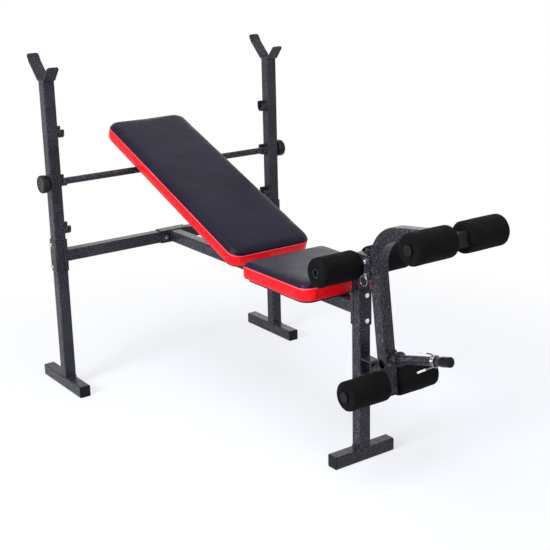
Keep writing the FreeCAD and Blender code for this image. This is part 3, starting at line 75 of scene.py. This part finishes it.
# pads: mesh and simulation
PAD_VOXEL = 5 * MM
TOP_OUT_MM = -1.3
CLOTH_FRAMES = 20
SWELL_LIMIT = 3 * MM
SWELL_SIDEWAYS = 0.4
GATHER_REACH = 55 * MM
PUCKER_REACH = 16 * MM
BAND_OUT_LIMIT_MM = 1.5

# rollers, knobs and collar
SLEEVE_SIDES = 64
SLEEVE_EDGE = 9 * MM
CORD_SIDES = 10
BEAD_SIDES = 8
COIL_STEPS = 36

# stage
LIT_POINT = Vector((0, 0, 0.5))
FLOOR_HALF = 14.0
FLOOR_DROP = 0.0005


# ---- materials ------------------------------------------------------------------------------

def srgb(red, green, blue):
    """Linear colour of an sRGB one given from 0 to 255."""
    channels = []
    for channel in (red, green, blue):
        share = channel / 255
        channels.append(share / 12.92 if share <= 0.04045 else ((share + 0.055) / 1.055) ** 2.4)
    return (*channels, 1.0)


class Material:
    """A procedural material, with short calls for the nodes that it uses."""

    def __init__(self, name):
        self.material = bpy.data.materials.new(name)
        self.material.use_nodes = True
        self.tree = self.material.node_tree
        self.shader = self.tree.nodes["Principled BSDF"]
        self.place = self.tree.nodes.new("ShaderNodeTexCoord").outputs["Object"]

    def set(self, **values):
        for name, value in values.items():
            self.shader.inputs[name.replace("_", " ")].default_value = value

    def node(self, kind, **values):
        item = self.tree.nodes.new(kind)
        for name, value in values.items():
            if hasattr(item, name):
                setattr(item, name, value)
            else:
                item.inputs[name.replace("_", " ")].default_value = value
        return item

    def link(self, output, target):
        self.tree.links.new(output, target)

    def noise(self, scale, detail=3.0, rough=0.5, stretch=None):
        item = self.node("ShaderNodeTexNoise", Scale=scale, Detail=detail, Roughness=rough)
        self.link(self.stretched(stretch), item.inputs["Vector"])
        return item.outputs["Fac"]

    def cells(self, scale, feature="F1", smooth=None):
        item = self.node("ShaderNodeTexVoronoi", Scale=scale, feature=feature)
        if smooth is not None:
            item.inputs["Smoothness"].default_value = smooth
        self.link(self.place, item.inputs["Vector"])
        return item.outputs["Distance"]

    def stretched(self, stretch):
        if stretch is None:
            return self.place
        item = self.node("ShaderNodeMapping")
        item.inputs["Scale"].default_value = stretch
        self.link(self.place, item.inputs["Vector"])
        return item.outputs["Vector"]

    def ramp(self, source, low, high, start=0.3, end=0.7):
        item = self.node("ShaderNodeValToRGB")
        first, last = item.color_ramp.elements
        first.position, first.color = start, low
        last.position, last.color = end, high
        self.link(source, item.inputs["Fac"])
        return item.outputs["Color"]

    def range(self, source, low, high, start=0.3, end=0.7):
        item = self.node("ShaderNodeMapRange")
        for name, value in (("From Min", start), ("From Max", end), ("To Min", low), ("To Max", high)):
            item.inputs[name].default_value = value
        self.link(source, item.inputs["Value"])
        return item.outputs["Result"]

    def mix(self, share, first, second):
        item = self.node("ShaderNodeMix", data_type="RGBA")
        self.link(share, item.inputs["Factor"])
        for source, target in ((first, item.inputs["A"]), (second, item.inputs["B"])):
            if isinstance(source, tuple):
                target.default_value = source
            else:
                self.link(source, target)
        return item.outputs["Result"]

    def colour(self, output):
        self.link(output, self.shader.inputs["Base Color"])

    def roughness(self, output):
        self.link(output, self.shader.inputs["Roughness"])

    def bump(self, *layers):
        """Bump from layers of (height output, strength, depth in metres)."""
        normal = None
        for height, strength, depth in layers:
            item = self.node("ShaderNodeBump")
            item.inputs["Strength"].default_value = strength
            item.inputs["Distance"].default_value = depth
            self.link(height, item.inputs["Height"])
            if normal is not None:
                self.link(normal, item.inputs["Normal"])
            normal = item.outputs["Normal"]
        self.link(normal, self.shader.inputs["Normal"])


def hammered_paint():
    paint = Material("hammered_paint")
    paint.set(Specular_IOR_Level=0.12, Coat_Weight=0.2, Coat_Roughness=0.1)
    dimples = paint.cells(300, "SMOOTH_F1", smooth=0.5)
    speckle = paint.noise(340, 2, 0.6)
    # light flecks in the colour: partly the hammered finish's own flecks, partly painted glints (painted
    # highlights)
    tone = paint.ramp(speckle, srgb(3, 3, 5), srgb(134, 132, 150), 0.49, 0.74)
    # painted shade: the dimples' hollows are coloured darker
    painted_hollow_shade = paint.ramp(dimples, srgb(5, 5, 7), srgb(22, 20, 28), 0.1, 0.65)
    paint.colour(paint.mix(paint.range(paint.noise(9, 4), 0.35, 0.7, 0.35, 0.7), painted_hollow_shade, tone))
    paint.roughness(paint.range(paint.noise(60, 2), 0.3, 0.44))
    paint.bump((dimples, 0.6, 0.001), (speckle, 0.3, 0.0005))
    return paint.material


def bright_zinc():
    zinc = Material("bright_zinc")
    zinc.set(Metallic=1.0)
    zinc.colour(zinc.ramp(zinc.noise(55, 4), srgb(196, 198, 204), srgb(232, 232, 228)))
    zinc.roughness(zinc.range(zinc.noise(240, 3), 0.16, 0.32))
    zinc.bump((zinc.noise(420, 3), 0.12, 0.0003))
    return zinc.material


def dull_zinc():
    zinc = Material("dull_zinc")
    zinc.set(Metallic=1.0)
    zinc.colour(zinc.ramp(zinc.noise(90, 4), srgb(60, 61, 66), srgb(112, 113, 118)))
    zinc.roughness(zinc.range(zinc.noise(240, 3), 0.3, 0.5))
    zinc.bump((zinc.noise(420, 3), 0.15, 0.0003))
    return zinc.material


def polished_chrome():
    chrome = Material("polished_chrome")
    chrome.set(Metallic=1.0)
    chrome.colour(chrome.ramp(chrome.noise(30, 2), srgb(112, 114, 120), srgb(176, 178, 184)))
    chrome.roughness(chrome.range(chrome.noise(120, 2), 0.07, 0.15))
    return chrome.material


def moulded_plastic(name, low, high, rough):
    plastic = Material(name)
    plastic.set(Specular_IOR_Level=0.16)
    plastic.colour(plastic.ramp(plastic.noise(40, 3), low, high))
    plastic.roughness(plastic.range(plastic.noise(160, 2), rough, rough + 0.14))
    plastic.bump((plastic.cells(1300), 0.25, 0.00025), (plastic.noise(35, 2), 0.12, 0.0008))
    return plastic.material


def foam_skin():
    foam = Material("foam_skin")
    foam.set(Specular_IOR_Level=0.1)
    foam.colour(foam.ramp(foam.noise(18, 4), srgb(6, 6, 7), srgb(13, 13, 15)))
    foam.roughness(foam.range(foam.noise(90, 2), 0.82, 0.95))
    pores = foam.cells(1500)
    foam.bump((pores, 0.6, 0.0006), (foam.noise(420, 4), 0.3, 0.0006), (foam.noise(26, 3), 0.2, 0.002))
    return foam.material


def rubber():
    item = Material("bumper_rubber")
    item.colour(item.ramp(item.noise(30, 3), srgb(16, 16, 17), srgb(30, 30, 31)))
    item.roughness(item.range(item.noise(120, 2), 0.6, 0.8))
    item.bump((item.noise(500, 3), 0.25, 0.0004))
    return item.material


def vinyl(name, low, high, rough, grain=0.35, gloss=0.2):
    """Grained vinyl with a soft drift of tone and roughness."""
    item = Material(name)
    item.set(Specular_IOR_Level=gloss)
    item.colour(item.ramp(item.noise(7, 4), low, high))
    item.roughness(item.range(item.noise(14, 3), rough, rough + 0.1))
    pebbles = item.cells(620, "DISTANCE_TO_EDGE")
    item.bump((pebbles, grain, 0.0004), (item.noise(900, 3), 0.25, 0.0002), (item.noise(11, 3), 0.25, 0.004))
    return item.material


def painted_board():
    item = Material("painted_board")
    grain = item.noise(60, 6, 0.6, (1, 0.08, 1))
    item.colour(item.ramp(grain, srgb(24, 22, 22), srgb(44, 40, 38)))
    item.roughness(item.range(grain, 0.6, 0.85))
    item.bump((grain, 0.4, 0.0006))
    return item.material


PAINT = hammered_paint()
ZINC = bright_zinc()
DULL_ZINC = dull_zinc()
CHROME = polished_chrome()
BLACK_PLASTIC = moulded_plastic("black_plastic", srgb(6, 6, 7), srgb(14, 14, 16), 0.26)
KNOB_PLASTIC = moulded_plastic("knob_plastic", srgb(13, 13, 15), srgb(26, 26, 30), 0.2)
WHITE_PLASTIC = moulded_plastic("white_plastic", srgb(184, 184, 182), srgb(212, 212, 209), 0.3)
FOAM = foam_skin()
RUBBER = rubber()
BOARD = painted_board()
TOP_VINYL = vinyl("top_vinyl", srgb(17, 14, 29), srgb(24, 20, 38), 0.34, 0.35, 0.12)
RED_VINYL = vinyl("red_vinyl", srgb(240, 4, 16), srgb(253, 9, 24), 0.34, 0.25)
# piping: red vinyl coloured light pink, a painted highlight along the cord
PIPING_HIGHLIGHT_VINYL = vinyl("piping_highlight_vinyl", srgb(226, 64, 74), srgb(240, 92, 100), 0.34, 0.2)
# seam: a dark cord laid just above the piping, a painted shadow line
SEAM_SHADE = vinyl("seam_shadow_vinyl", srgb(22, 16, 22), srgb(34, 24, 30), 0.6, 0.2)

ZINC_NODES = (
    "clamp_bolts", "clamp_nuts", "pivot_bolt", "pivot_nut", "bumper_stud", "seat_screws",
    "backrest_screws", "hinge_rod", "hinge_nuts", "knob_left_stud", "knob_right_stud", "lock_pin",
)


def node_material(name):
    """Material of a carried-over node."""
    if name in ZINC_NODES:
        return ZINC
    if name == "weight_post_bolts":
        return DULL_ZINC
    if name in ("pull_ring", "spring_collar"):
        return CHROME
    if name == "collar_grips":
        return WHITE_PLASTIC
    if name == "arm_bumper":
        return RUBBER
    if name.endswith("_board"):
        return BOARD
    if name.endswith("_cushion"):
        return TOP_VINYL
    if name.startswith("foam_"):
        return FOAM
    if "caps" in name or name in ("knob_left", "knob_right", "weight_post_cap"):
        return BLACK_PLASTIC
    return PAINT


def dress(item, material):
    item.data.materials.clear()
    item.data.materials.append(material)


for node_name, node_object in NODES.items():
    dress(node_object, node_material(node_name))


# ---- mesh helpers ---------------------------------------------------------------------------

def make_object(name, vertices, faces, material, smooth=True):
    mesh = bpy.data.meshes.new(name)
    mesh.from_pydata([tuple(vertex) for vertex in vertices], [], faces)
    mesh.update()
    item = bpy.data.objects.new(name, mesh)
    bpy.context.scene.collection.objects.link(item)
    mesh.materials.append(material)
    mesh.polygons.foreach_set("use_smooth", [smooth] * len(mesh.polygons))
    return item


def loft(rows, closed_columns=False):
    """Vertices and quads between closed rows of points; closed_columns joins the last row to the first."""
    count = len(rows[0])
    vertices = [point for row in rows for point in row]
    faces = []
    last_row = len(rows) if closed_columns else len(rows) - 1
    for i in range(last_row):
        for j in range(count):
            a = i * count + j
            b = i * count + (j + 1) % count
            c = ((i + 1) % len(rows)) * count + (j + 1) % count
            d = ((i + 1) % len(rows)) * count + j
            faces.append((a, b, c, d))
    return vertices, faces


def clean_normals(item):
    mesh = bmesh.new()
    mesh.from_mesh(item.data)
    bmesh.ops.recalc_face_normals(mesh, faces=mesh.faces)
    mesh.to_mesh(item.data)
    mesh.free()
    return item


def rounded_outline(width, length, far, near, spacing):
    """Points and outward directions round a rounded rectangle; far and near are its corners' radii."""
    corners = []
    for side, end, radius in ((1, 1, far), (-1, 1, far), (-1, -1, near), (1, -1, near)):
        corners.append((Vector((side * (width / 2 - radius), end * (length / 2 - radius), 0)), radius))
    points = []
    for index, (centre, radius) in enumerate(corners):
        steps = max(4, round(radius * math.pi / 2 / spacing))
        for step in range(steps + 1):
            angle = (index + step / steps) * math.pi / 2
            out = Vector((math.cos(angle), math.sin(angle), 0))
            points.append((centre + out * radius, out))
        next_centre, next_radius = corners[(index + 1) % 4]
        start = centre + out * radius
        end = next_centre + out * next_radius
        steps = max(2, round((end - start).length / spacing))
        for step in range(1, steps):
            points.append((start.lerp(end, step / steps), out))
    return points


def tube_along(points, radii, sides=12):
    """Vertices and faces of a round tube with closed ends that follows points."""
    rows = []
    side = (points[1] - points[0]).orthogonal()
    for index, (point, radius) in enumerate(zip(points, radii)):
        along = (points[min(index + 1, len(points) - 1)] - points[max(index - 1, 0)]).normalized()
        side = (side - along * side.dot(along)).normalized()
        other = along.cross(side)
        ring = []
        for step in range(sides):
            angle = step / sides * 2 * math.pi
            ring.append(point + (side * math.cos(angle) + other * math.sin(angle)) * radius)
        rows.append(ring)
    vertices, faces = loft(rows)
    last = (len(rows) - 1) * sides
    faces.append(list(range(sides)))
    faces.append([last + step for step in range(sides)])
    return vertices, faces


def apply_modifiers(item):
    """Bake an object's modifiers into its mesh."""
    graph = bpy.context.evaluated_depsgraph_get()
    mesh = bpy.data.meshes.new_from_object(item.evaluated_get(graph))
    item.modifiers.clear()
    old = item.data
    item.data = mesh
    bpy.data.meshes.remove(old)


# ---- pads -----------------------------------------------------------------------------------

def pad_frame(kind):
    """Width, length and matrix of a pad: its underside's middle, +Y along it and +Z out of it."""
    low, high = (Vector(corner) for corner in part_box(f"{kind}_cushion"))
    middle_x = (low.x + high.x) / 2
    if kind == "seat":
        middle = Vector((middle_x, (low.y + high.y) / 2, low.z))
        return high.x - low.x, high.y - low.y, Matrix.Translation(middle)
    # the tilted underside's far edge is the pad's rearmost line, and its near edge the lowest
    turn = Matrix.Rotation(BACKREST_TILT, 4, "X")
    along = turn @ Vector((0, 1, 0))
    near = Vector((middle_x, high.y - BACKREST_LENGTH * along.y, low.z))
    return high.x - low.x, BACKREST_LENGTH, Matrix.Translation(near + along * BACKREST_LENGTH / 2) @ turn


def pad_outline(kind, width, length, spacing):
    far = SEAT_REAR_CORNER if kind == "seat" else PAD_CORNER
    return rounded_outline(width, length, far, PAD_CORNER, spacing)


def crown_height(x, y, width, length):
    """Share of the crown's height, 0 at the pad's edge and 1 in its middle."""
    across = max(0.0, 1 - abs(2 * x / width) ** 5)
    along = max(0.0, 1 - abs(2 * y / length) ** (5 * length / width))
    return (across * along) ** 0.5


def puff(item):
    """Swell a closed mesh with the cloth simulation and keep the result."""
    cloth = item.modifiers.new("Cloth", "CLOTH")
    cloth.settings.quality = 5
    cloth.settings.mass = 0.3
    cloth.settings.tension_stiffness = 18
    cloth.settings.compression_stiffness = 18
    cloth.settings.bending_stiffness = 3
    cloth.settings.use_pressure = True
    cloth.settings.uniform_pressure_force = 4
    cloth.settings.effector_weights.gravity = 0
    scene = bpy.context.scene
    for number in range(1, CLOTH_FRAMES + 1):
        scene.frame_set(number)
    apply_modifiers(item)
    scene.frame_set(1)


def pad_core(kind, width, length, place):
    """Padded body with its top vinyl: a round-edged slab, swollen by a cloth simulation."""
    outline = pad_outline(kind, width, length, 7 * MM)
    levels = [(-9, BAND_LOW + 2 * MM), (-3.2, BAND_LOW + 5 * MM), (-2.8, BAND_TOP - 3 * MM), (-1.4, BAND_TOP)]
    for step in range(7):
        angle = step / 6 * math.pi / 2
        inward = TOP_ROUND / MM * (1 - math.cos(angle))
        levels.append((TOP_OUT_MM - inward, BAND_TOP + MM + TOP_ROUND * math.sin(angle)))
    rows = []
    for out_mm, height in levels:
        rows.append([point + out * (out_mm * MM) + Vector((0, 0, height)) for point, out in outline])
    vertices, faces = loft(rows)
    count = len(outline)
    faces.append(list(range(count)))
    faces.append([(len(rows) - 1) * count + step for step in range(count)])
    item = clean_normals(make_object(f"{kind}_pad_top", vertices, faces, TOP_VINYL))
    remesh = item.modifiers.new("Remesh", "REMESH")
    remesh.mode = "VOXEL"
    remesh.voxel_size = PAD_VOXEL
    apply_modifiers(item)
    for vertex in item.data.vertices:
        share = min(1.0, max(0.0, (vertex.co.z - BAND_TOP) / TOP_ROUND))
        vertex.co.z += share * crown_height(vertex.co.x, vertex.co.y, width, length) * CROWN
    before = [vertex.co.copy() for vertex in item.data.vertices]
    puff(item)
    for vertex, start in zip(item.data.vertices, before):
        move = vertex.co - start
        if move.length > SWELL_LIMIT:
            move = move.normalized() * SWELL_LIMIT
        share = min(1.0, max(0.0, (start.z - BAND_TOP) / TOP_ROUND))
        edge = min(width / 2 - abs(start.x), length / 2 - abs(start.y))
        gather = corner_gather(start, width, length)
        pucker = noise.noise(start * 62) * math.exp(-edge / PUCKER_REACH) * (0.7 + 1.6 * gather)
        drift = noise.noise(start * 9) * 0.8 + noise.noise(start * 27) * 0.25
        vertex.co = start + Vector((move.x * SWELL_SIDEWAYS, move.y * SWELL_SIDEWAYS, move.z)) * share
        vertex.co.z += share * (pucker + drift) * MM
    subdivide = item.modifiers.new("Subdivision", "SUBSURF")
    subdivide.levels = 1
    subdivide.render_levels = 1
    apply_modifiers(item)
    item.data.polygons.foreach_set("use_smooth", [True] * len(item.data.polygons))
    dress(item, TOP_VINYL)
    item.data.transform(place)
    return item


def corner_gather(point, width, length):
    """1 at a pad's corners, 0 along its straight sides."""
    from_corner = math.hypot(width / 2 - abs(point.x), length / 2 - abs(point.y))
    return math.exp(-((from_corner / GATHER_REACH) ** 2))


BAND_PROFILE = (
    # share of the band's height, distance out from the pad's side in mm
    (0.045, -12), (0.015, -7.5), (0, -4.5), (0.015, -2), (0.06, -0.6), (0.15, 0), (0.3, 0.4),
    (0.52, 0.6), (0.73, 0.4), (0.86, 0), (0.94, -0.8), (0.975, -1.8), (0.988, -3.4),
)


def pad_band(kind, width, length, place):
    """Red side band: tucked under at the board, slightly full, gathered at the corners."""
    outline = pad_outline(kind, width, length, 3 * MM)
    rows = []
    for share, out_mm in BAND_PROFILE:
        depth = math.sin(math.pi * share)
        height = BAND_LOW + share * (BAND_TOP - BAND_LOW)
        row = []
        for point, out in outline:
            gather = corner_gather(point, width, length)
            wave = noise.noise(Vector((point.x * 24, point.y * 24, share * 1.3)))
            pleat = noise.noise(Vector((point.x * 95, point.y * 95, share)))
            push = out_mm + depth * (wave * 0.9 + gather * pleat * 1.7)
            row.append(point + out * (min(push, BAND_OUT_LIMIT_MM) * MM) + Vector((0, 0, height)))
        rows.append(row)
    vertices, faces = loft(rows)
    item = clean_normals(make_object(f"{kind}_pad_band", vertices, faces, RED_VINYL))
    item.data.transform(place)
    return item


def outline_cord(name, outline, height, inset, radius, material, place):
    """Round cord that follows a pad's outline at a height, a little unevenly."""
    rows = []
    for point, out in outline:
        drift = noise.noise(Vector((point.x * 18, point.y * 18, 4.2))) * 0.4 * MM
        centre = point + out * (drift - inset) + Vector((0, 0, height + drift))
        ring = []
        for step in range(CORD_SIDES):
            angle = step / CORD_SIDES * 2 * math.pi
            ring.append(centre + out * (math.cos(angle) * radius) + Vector((0, 0, math.sin(angle) * radius)))
        rows.append(ring)
    vertices, faces = loft(rows, closed_columns=True)
    item = clean_normals(make_object(name, vertices, faces, material))
    item.data.transform(place)
    return item


def build_pad(kind, body):
    width, length, place = pad_frame(kind)
    core = pad_core(kind, width, length, place)
    band = pad_band(kind, width, length, place)
    outline = pad_outline(kind, width, length, 4 * MM)
    # piping cord: its light pink colour is a painted highlight on red piping
    piping = outline_cord(f"{kind}_piping", outline, BAND_TOP, 1.5 * MM, PIPING, PIPING_HIGHLIGHT_VINYL, place)
    # dark cord just above the piping: a painted shadow line along the seam
    seam_shadow = outline_cord(f"{kind}_seam", outline, BAND_TOP + 2.1 * MM, 2.2 * MM, 1.2 * MM, SEAM_SHADE, place)
    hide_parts(f"{kind}_cushion")
    for item in (core, band, piping, seam_shadow):
        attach(item, body)


# ---- foam rollers ---------------------------------------------------------------------------

def foam_profile(radius, half):
    """Distances from the axis and places along it round a sleeve's section."""
    end = [(TUBE, half - 3 * MM), (TUBE + 2 * MM, half - MM), (TUBE + 5 * MM, half), (radius * 0.62, half)]
    for step in range(7):
        angle = step / 6 * math.pi / 2
        reach = radius - SLEEVE_EDGE + math.sin(angle) * SLEEVE_EDGE
        end.append((reach, half - SLEEVE_EDGE + math.cos(angle) * SLEEVE_EDGE))
    end += [(radius, share * half) for share in (0.6, 0.35, 0.12)]
    return end + [(distance, -along) for distance, along in reversed(end)]


def foam_roller(node, body):
    """Foam sleeve with soft rounded ends and a slightly uneven skin."""
    low, high = (Vector(corner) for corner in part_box(node))
    centre = (low + high) / 2
    seed = sum(ord(letter) for letter in node)
    rows = []
    for distance, along in foam_profile((high.z - low.z) / 2, (high.x - low.x) / 2):
        row = []
        for step in range(SLEEVE_SIDES):
            angle = step / SLEEVE_SIDES * 2 * math.pi
            direction = Vector((0, math.cos(angle), math.sin(angle)))
            uneven = noise.noise(Vector((along * 22 + seed, direction.y * 1.6, direction.z * 1.6)))
            share = min(1.0, (distance - TUBE) / (10 * MM))
            swell = (uneven * 0.9 - 0.5) * share * MM
            row.append(centre + Vector((along, 0, 0)) + direction * (distance + swell))
        rows.append(row)
    vertices, faces = loft(rows, closed_columns=True)
    item = clean_normals(make_object(f"{node}_sleeve", vertices, faces, FOAM))
    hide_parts(node)
    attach(item, body)


# ---- knobs and spring collar ----------------------------------------------------------------

KNOB_PROFILE = (
    # share of the depth from the upright outward, share of the radius, share of the flutes' depth
    (0.02, 0.3, 0), (0.02, 0.52, 0), (0.15, 0.52, 0), (0.16, 0.8, 0), (0.18, 0.9, 0.3), (0.24, 0.96, 1),
    (0.5, 0.985, 1), (0.82, 1.0, 1), (0.91, 0.985, 0.8), (0.965, 0.94, 0.3), (0.99, 0.87, 0),
    (0.995, 0.78, 0), (0.975, 0.72, 0), (0.96, 0.6, 0), (0.965, 0.3, 0), (0.97, 0.02, 0),
)
FLUTES = 26


def fluted_knob(side):
    """Round hand knob with fine flutes round its rim and a dished face."""
    node = f"knob_{side}"
    low, high = (Vector(corner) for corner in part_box(node))
    centre = (low + high) / 2
    radius = (high.y - low.y) / 2
    inner, outer = (high.x, low.x) if side == "left" else (low.x, high.x)
    steps = FLUTES * 6
    rows = []
    for depth, reach, share in KNOB_PROFILE:
        row = []
        for step in range(steps):
            angle = step / steps * 2 * math.pi
            flute = share * MM * (0.5 + 0.5 * math.cos(FLUTES * angle)) ** 2
            direction = Vector((0, math.cos(angle), math.sin(angle)))
            place = Vector((inner + (outer - inner) * depth, centre.y, centre.z))
            row.append(place + direction * (radius * reach - flute))
        rows.append(row)
    vertices, faces = loft(rows)
    faces.append(list(range(steps)))
    faces.append([(len(rows) - 1) * steps + step for step in range(steps)])
    item = clean_normals(make_object(f"{node}_grip", vertices, faces, KNOB_PLASTIC))
    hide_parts(node)
    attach(item, f"{side}_knob")


GRIP_STOPS = (
    # distance from the wire's tip and radius of the grip there, in mm
    (-1.5, 0.5), (-1.2, 2.1), (0, 2.7), (4, 2.9), (30, 2.9), (37, 3.1), (39, 2.7), (39.5, 2.2),
)


def spring_collar():
    """Coil of round wire whose ends run back to the arm as two spread handles with grips."""
    joint = JOINTS["collar_slide"]
    start = Vector(joint["pos_m"])
    along = Vector(joint["axis"]).normalized()
    up = along.cross(Vector((1, 0, 0)))
    wire = 2 * MM
    radius = 15.2 * MM
    pitch = 4.3 * MM
    turns = 2.35
    back = start - along * (60 * MM)
    tips = (back + up * (25 * MM), back - up * (31 * MM) - Vector((8 * MM, 0, 0)))

    def across(turn):
        angle = math.pi / 2 + turn * 2 * math.pi
        return Vector((math.cos(angle), 0, 0)) + up * math.sin(angle)

    def on_coil(turn):
        return start + across(turn) * radius + along * (turn * pitch + 2 * MM)

    coil = [on_coil(step / COIL_STEPS) for step in range(2, round(COIL_STEPS * turns) - 1)]
    ends = []
    for tip, turn, sign in ((tips[0], 0, 1), (tips[1], turns, -1)):
        corner = on_coil(turn) + across(turn) * (2.8 * MM)
        leave = corner.lerp(tip, 0.1)
        join = on_coil(turn + sign * 2 / COIL_STEPS)
        bend = [leave.lerp(corner, step / 6).lerp(corner.lerp(join, step / 6), step / 6) for step in range(6)]
        ends.append([tip, *[tip.lerp(leave, step / 4) for step in range(1, 4)], *bend])
    path = ends[0] + coil + list(reversed(ends[1]))
    vertices, faces = tube_along(path, [wire] * len(path))
    item = clean_normals(make_object("collar_wire", vertices, faces, CHROME))
    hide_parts("spring_collar")
    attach(item, "collar")
    for name, end in (("upper", ends[0]), ("lower", ends[1])):
        run = (end[4] - end[0]).normalized()
        points = [end[0] + run * (place * MM) for place, _ in GRIP_STOPS]
        vertices, faces = tube_along(points, [size * MM for _, size in GRIP_STOPS], 20)
        grip = clean_normals(make_object(f"collar_grip_{name}", vertices, faces, WHITE_PLASTIC))
        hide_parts("collar_grips")
        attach(grip, "collar")


# ---- welds ----------------------------------------------------------------------------------

def weld_bead(name, x, y, height, half, body):
    """Rippled weld bead round a square tube where it stands on its foot."""
    rows = []
    outline = rounded_outline(2 * half, 2 * half, 3 * MM, 3 * MM, 1.1 * MM)
    for index, (point, out) in enumerate(outline):
        size = 2.3 + 0.35 * math.sin(index * 2.1) + 0.4 * noise.noise(Vector((point.x * 90, point.y * 90, x)))
        centre = point + Vector((x, y, height))
        ring = []
        for step in range(BEAD_SIDES):
            angle = step / BEAD_SIDES * 2 * math.pi
            ring.append(centre + (out * math.cos(angle) + Vector((0, 0, math.sin(angle)))) * (size * MM))
        rows.append(ring)
    vertices, faces = loft(rows, closed_columns=True)
    item = clean_normals(make_object(name, vertices, faces, PAINT))
    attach(item, body)


# ---- the scene's own pieces -----------------------------------------------------------------

build_pad("seat", "frame")
build_pad("backrest", "backrest")
for place_name in ("seat", "upper", "lower"):
    for side_name in ("left", "right"):
        foam_roller(f"foam_{place_name}_{side_name}", f"{place_name}_{side_name}_roller")
post_y = JOINTS["seat_left_roller_spin"]["pos_m"][1]
weld_bead("weld_front_foot", 0, post_y, TUBE_SIDE, TUBE_SIDE / 2, "frame")
for side_name in ("left", "right"):
    upright = JOINTS[f"{side_name}_stud_travel"]["pos_m"]
    weld_bead(f"weld_{side_name}_foot", upright[0], upright[1], TUBE_SIDE, TUBE_SIDE / 2, "frame")
fluted_knob("left")
fluted_knob("right")
spring_collar()


# ---- stage, light and camera ----------------------------------------------------------------

def seen_rays(tree):
    """1 for the rays that show the backdrop itself, in the camera or in metal and glass."""
    path = tree.nodes.new("ShaderNodeLightPath")
    total = path.outputs["Is Camera Ray"]
    for name in ("Is Glossy Ray", "Is Transmission Ray"):
        larger = tree.nodes.new("ShaderNodeMath")
        larger.operation = "MAXIMUM"
        tree.links.new(total, larger.inputs[0])
        tree.links.new(path.outputs[name], larger.inputs[1])
        total = larger.outputs["Value"]
    return total


def stage_material():
    """Pale floor that takes the object's shadow and shows plain white further off."""
    item = Material("stage_white")
    item.set(Roughness=0.9, Specular_IOR_Level=0.1)
    item.colour(item.ramp(item.noise(1.5, 2), (0.75, 0.80, 0.93, 1), (0.78, 0.83, 0.96, 1)))
    glow = item.node("ShaderNodeEmission", Strength=1.0)
    glow.inputs["Color"].default_value = (1, 1, 1, 1)
    distance = item.node("ShaderNodeVectorMath", operation="LENGTH")
    item.link(item.place, distance.inputs[0])
    share = item.node("ShaderNodeMath", operation="MULTIPLY")
    item.link(item.range(distance.outputs["Value"], 0.66, 1.0, 0.7, 1.7), share.inputs[0])
    item.link(seen_rays(item.tree), share.inputs[1])
    mix = item.node("ShaderNodeMixShader")
    item.link(share.outputs["Value"], mix.inputs["Fac"])
    item.link(item.shader.outputs["BSDF"], mix.inputs[1])
    item.link(glow.outputs["Emission"], mix.inputs[2])
    item.link(mix.outputs["Shader"], item.tree.nodes["Material Output"].inputs["Surface"])
    return item.material


def floor():
    corners = [
        (x * FLOOR_HALF, y * FLOOR_HALF, -FLOOR_DROP) for x, y in ((-1, -1), (1, -1), (1, 1), (-1, 1))
    ]
    item = make_object("stage_floor", corners, [(0, 1, 2, 3)], stage_material(), smooth=False)


def area_light(name, place, size, power):
    """Round lamp, white, turned to the middle of the bench."""
    data = bpy.data.lights.new(name, "AREA")
    data.shape = "DISK"
    data.size = size
    data.energy = power
    item = bpy.data.objects.new(name, data)
    item.location = place
    item.rotation_euler = (LIT_POINT - Vector(place)).to_track_quat("-Z", "Y").to_euler()
    bpy.context.scene.collection.objects.link(item)


def world():
    item = bpy.data.worlds.new("studio")
    bpy.context.scene.world = item
    item.use_nodes = True
    tree = item.node_tree
    background = tree.nodes["Background"]
    background.inputs["Color"].default_value = (0.94, 0.96, 1.0, 1)
    background.inputs["Strength"].default_value = 0.3
    shown = tree.nodes.new("ShaderNodeBackground")
    shown.inputs["Color"].default_value = (1, 1, 1, 1)
    shown.inputs["Strength"].default_value = 1.0
    mix = tree.nodes.new("ShaderNodeMixShader")
    tree.links.new(seen_rays(tree), mix.inputs["Fac"])
    tree.links.new(background.outputs["Background"], mix.inputs[1])
    tree.links.new(shown.outputs["Background"], mix.inputs[2])
    tree.links.new(mix.outputs["Shader"], tree.nodes["World Output"].inputs["Surface"])


def camera():
    """Camera at the studio view: place in metres, turn, tilt and roll in degrees."""
    place = Vector((-1.92811, -2.73062, 1.48487))
    yaw, pitch, roll = (math.radians(angle) for angle in (35.89, 15.87, -1.14))
    forward = Vector((math.sin(yaw) * math.cos(pitch), math.cos(yaw) * math.cos(pitch), -math.sin(pitch)))
    level = Vector((math.cos(yaw), -math.sin(yaw), 0))
    upright = level.cross(forward)
    right = level * math.cos(roll) + upright * math.sin(roll)
    up = upright * math.cos(roll) - level * math.sin(roll)
    data = bpy.data.cameras.new("camera")
    data.sensor_width = 36
    data.lens = 75.34
    data.shift_x = -0.0273
    data.shift_y = -0.0455
    item = bpy.data.objects.new("camera", data)
    turn = Matrix((right, up, -forward)).transposed().to_4x4()
    item.matrix_world = Matrix.Translation(place) @ turn
    bpy.context.scene.collection.objects.link(item)
    bpy.context.scene.camera = item


floor()
world()
area_light("key", (-3.9, -0.9, 2.2), 1.8, 190)
area_light("fill", (0.9, -3.6, 2.4), 2.2, 22)
area_light("top", (-1.0, -0.4, 3.8), 2.4, 84)
area_light("rim", (2.8, 4.2, 1.7), 2.6, 14)
camera()
bpy.context.scene.view_settings.view_transform = "Standard"
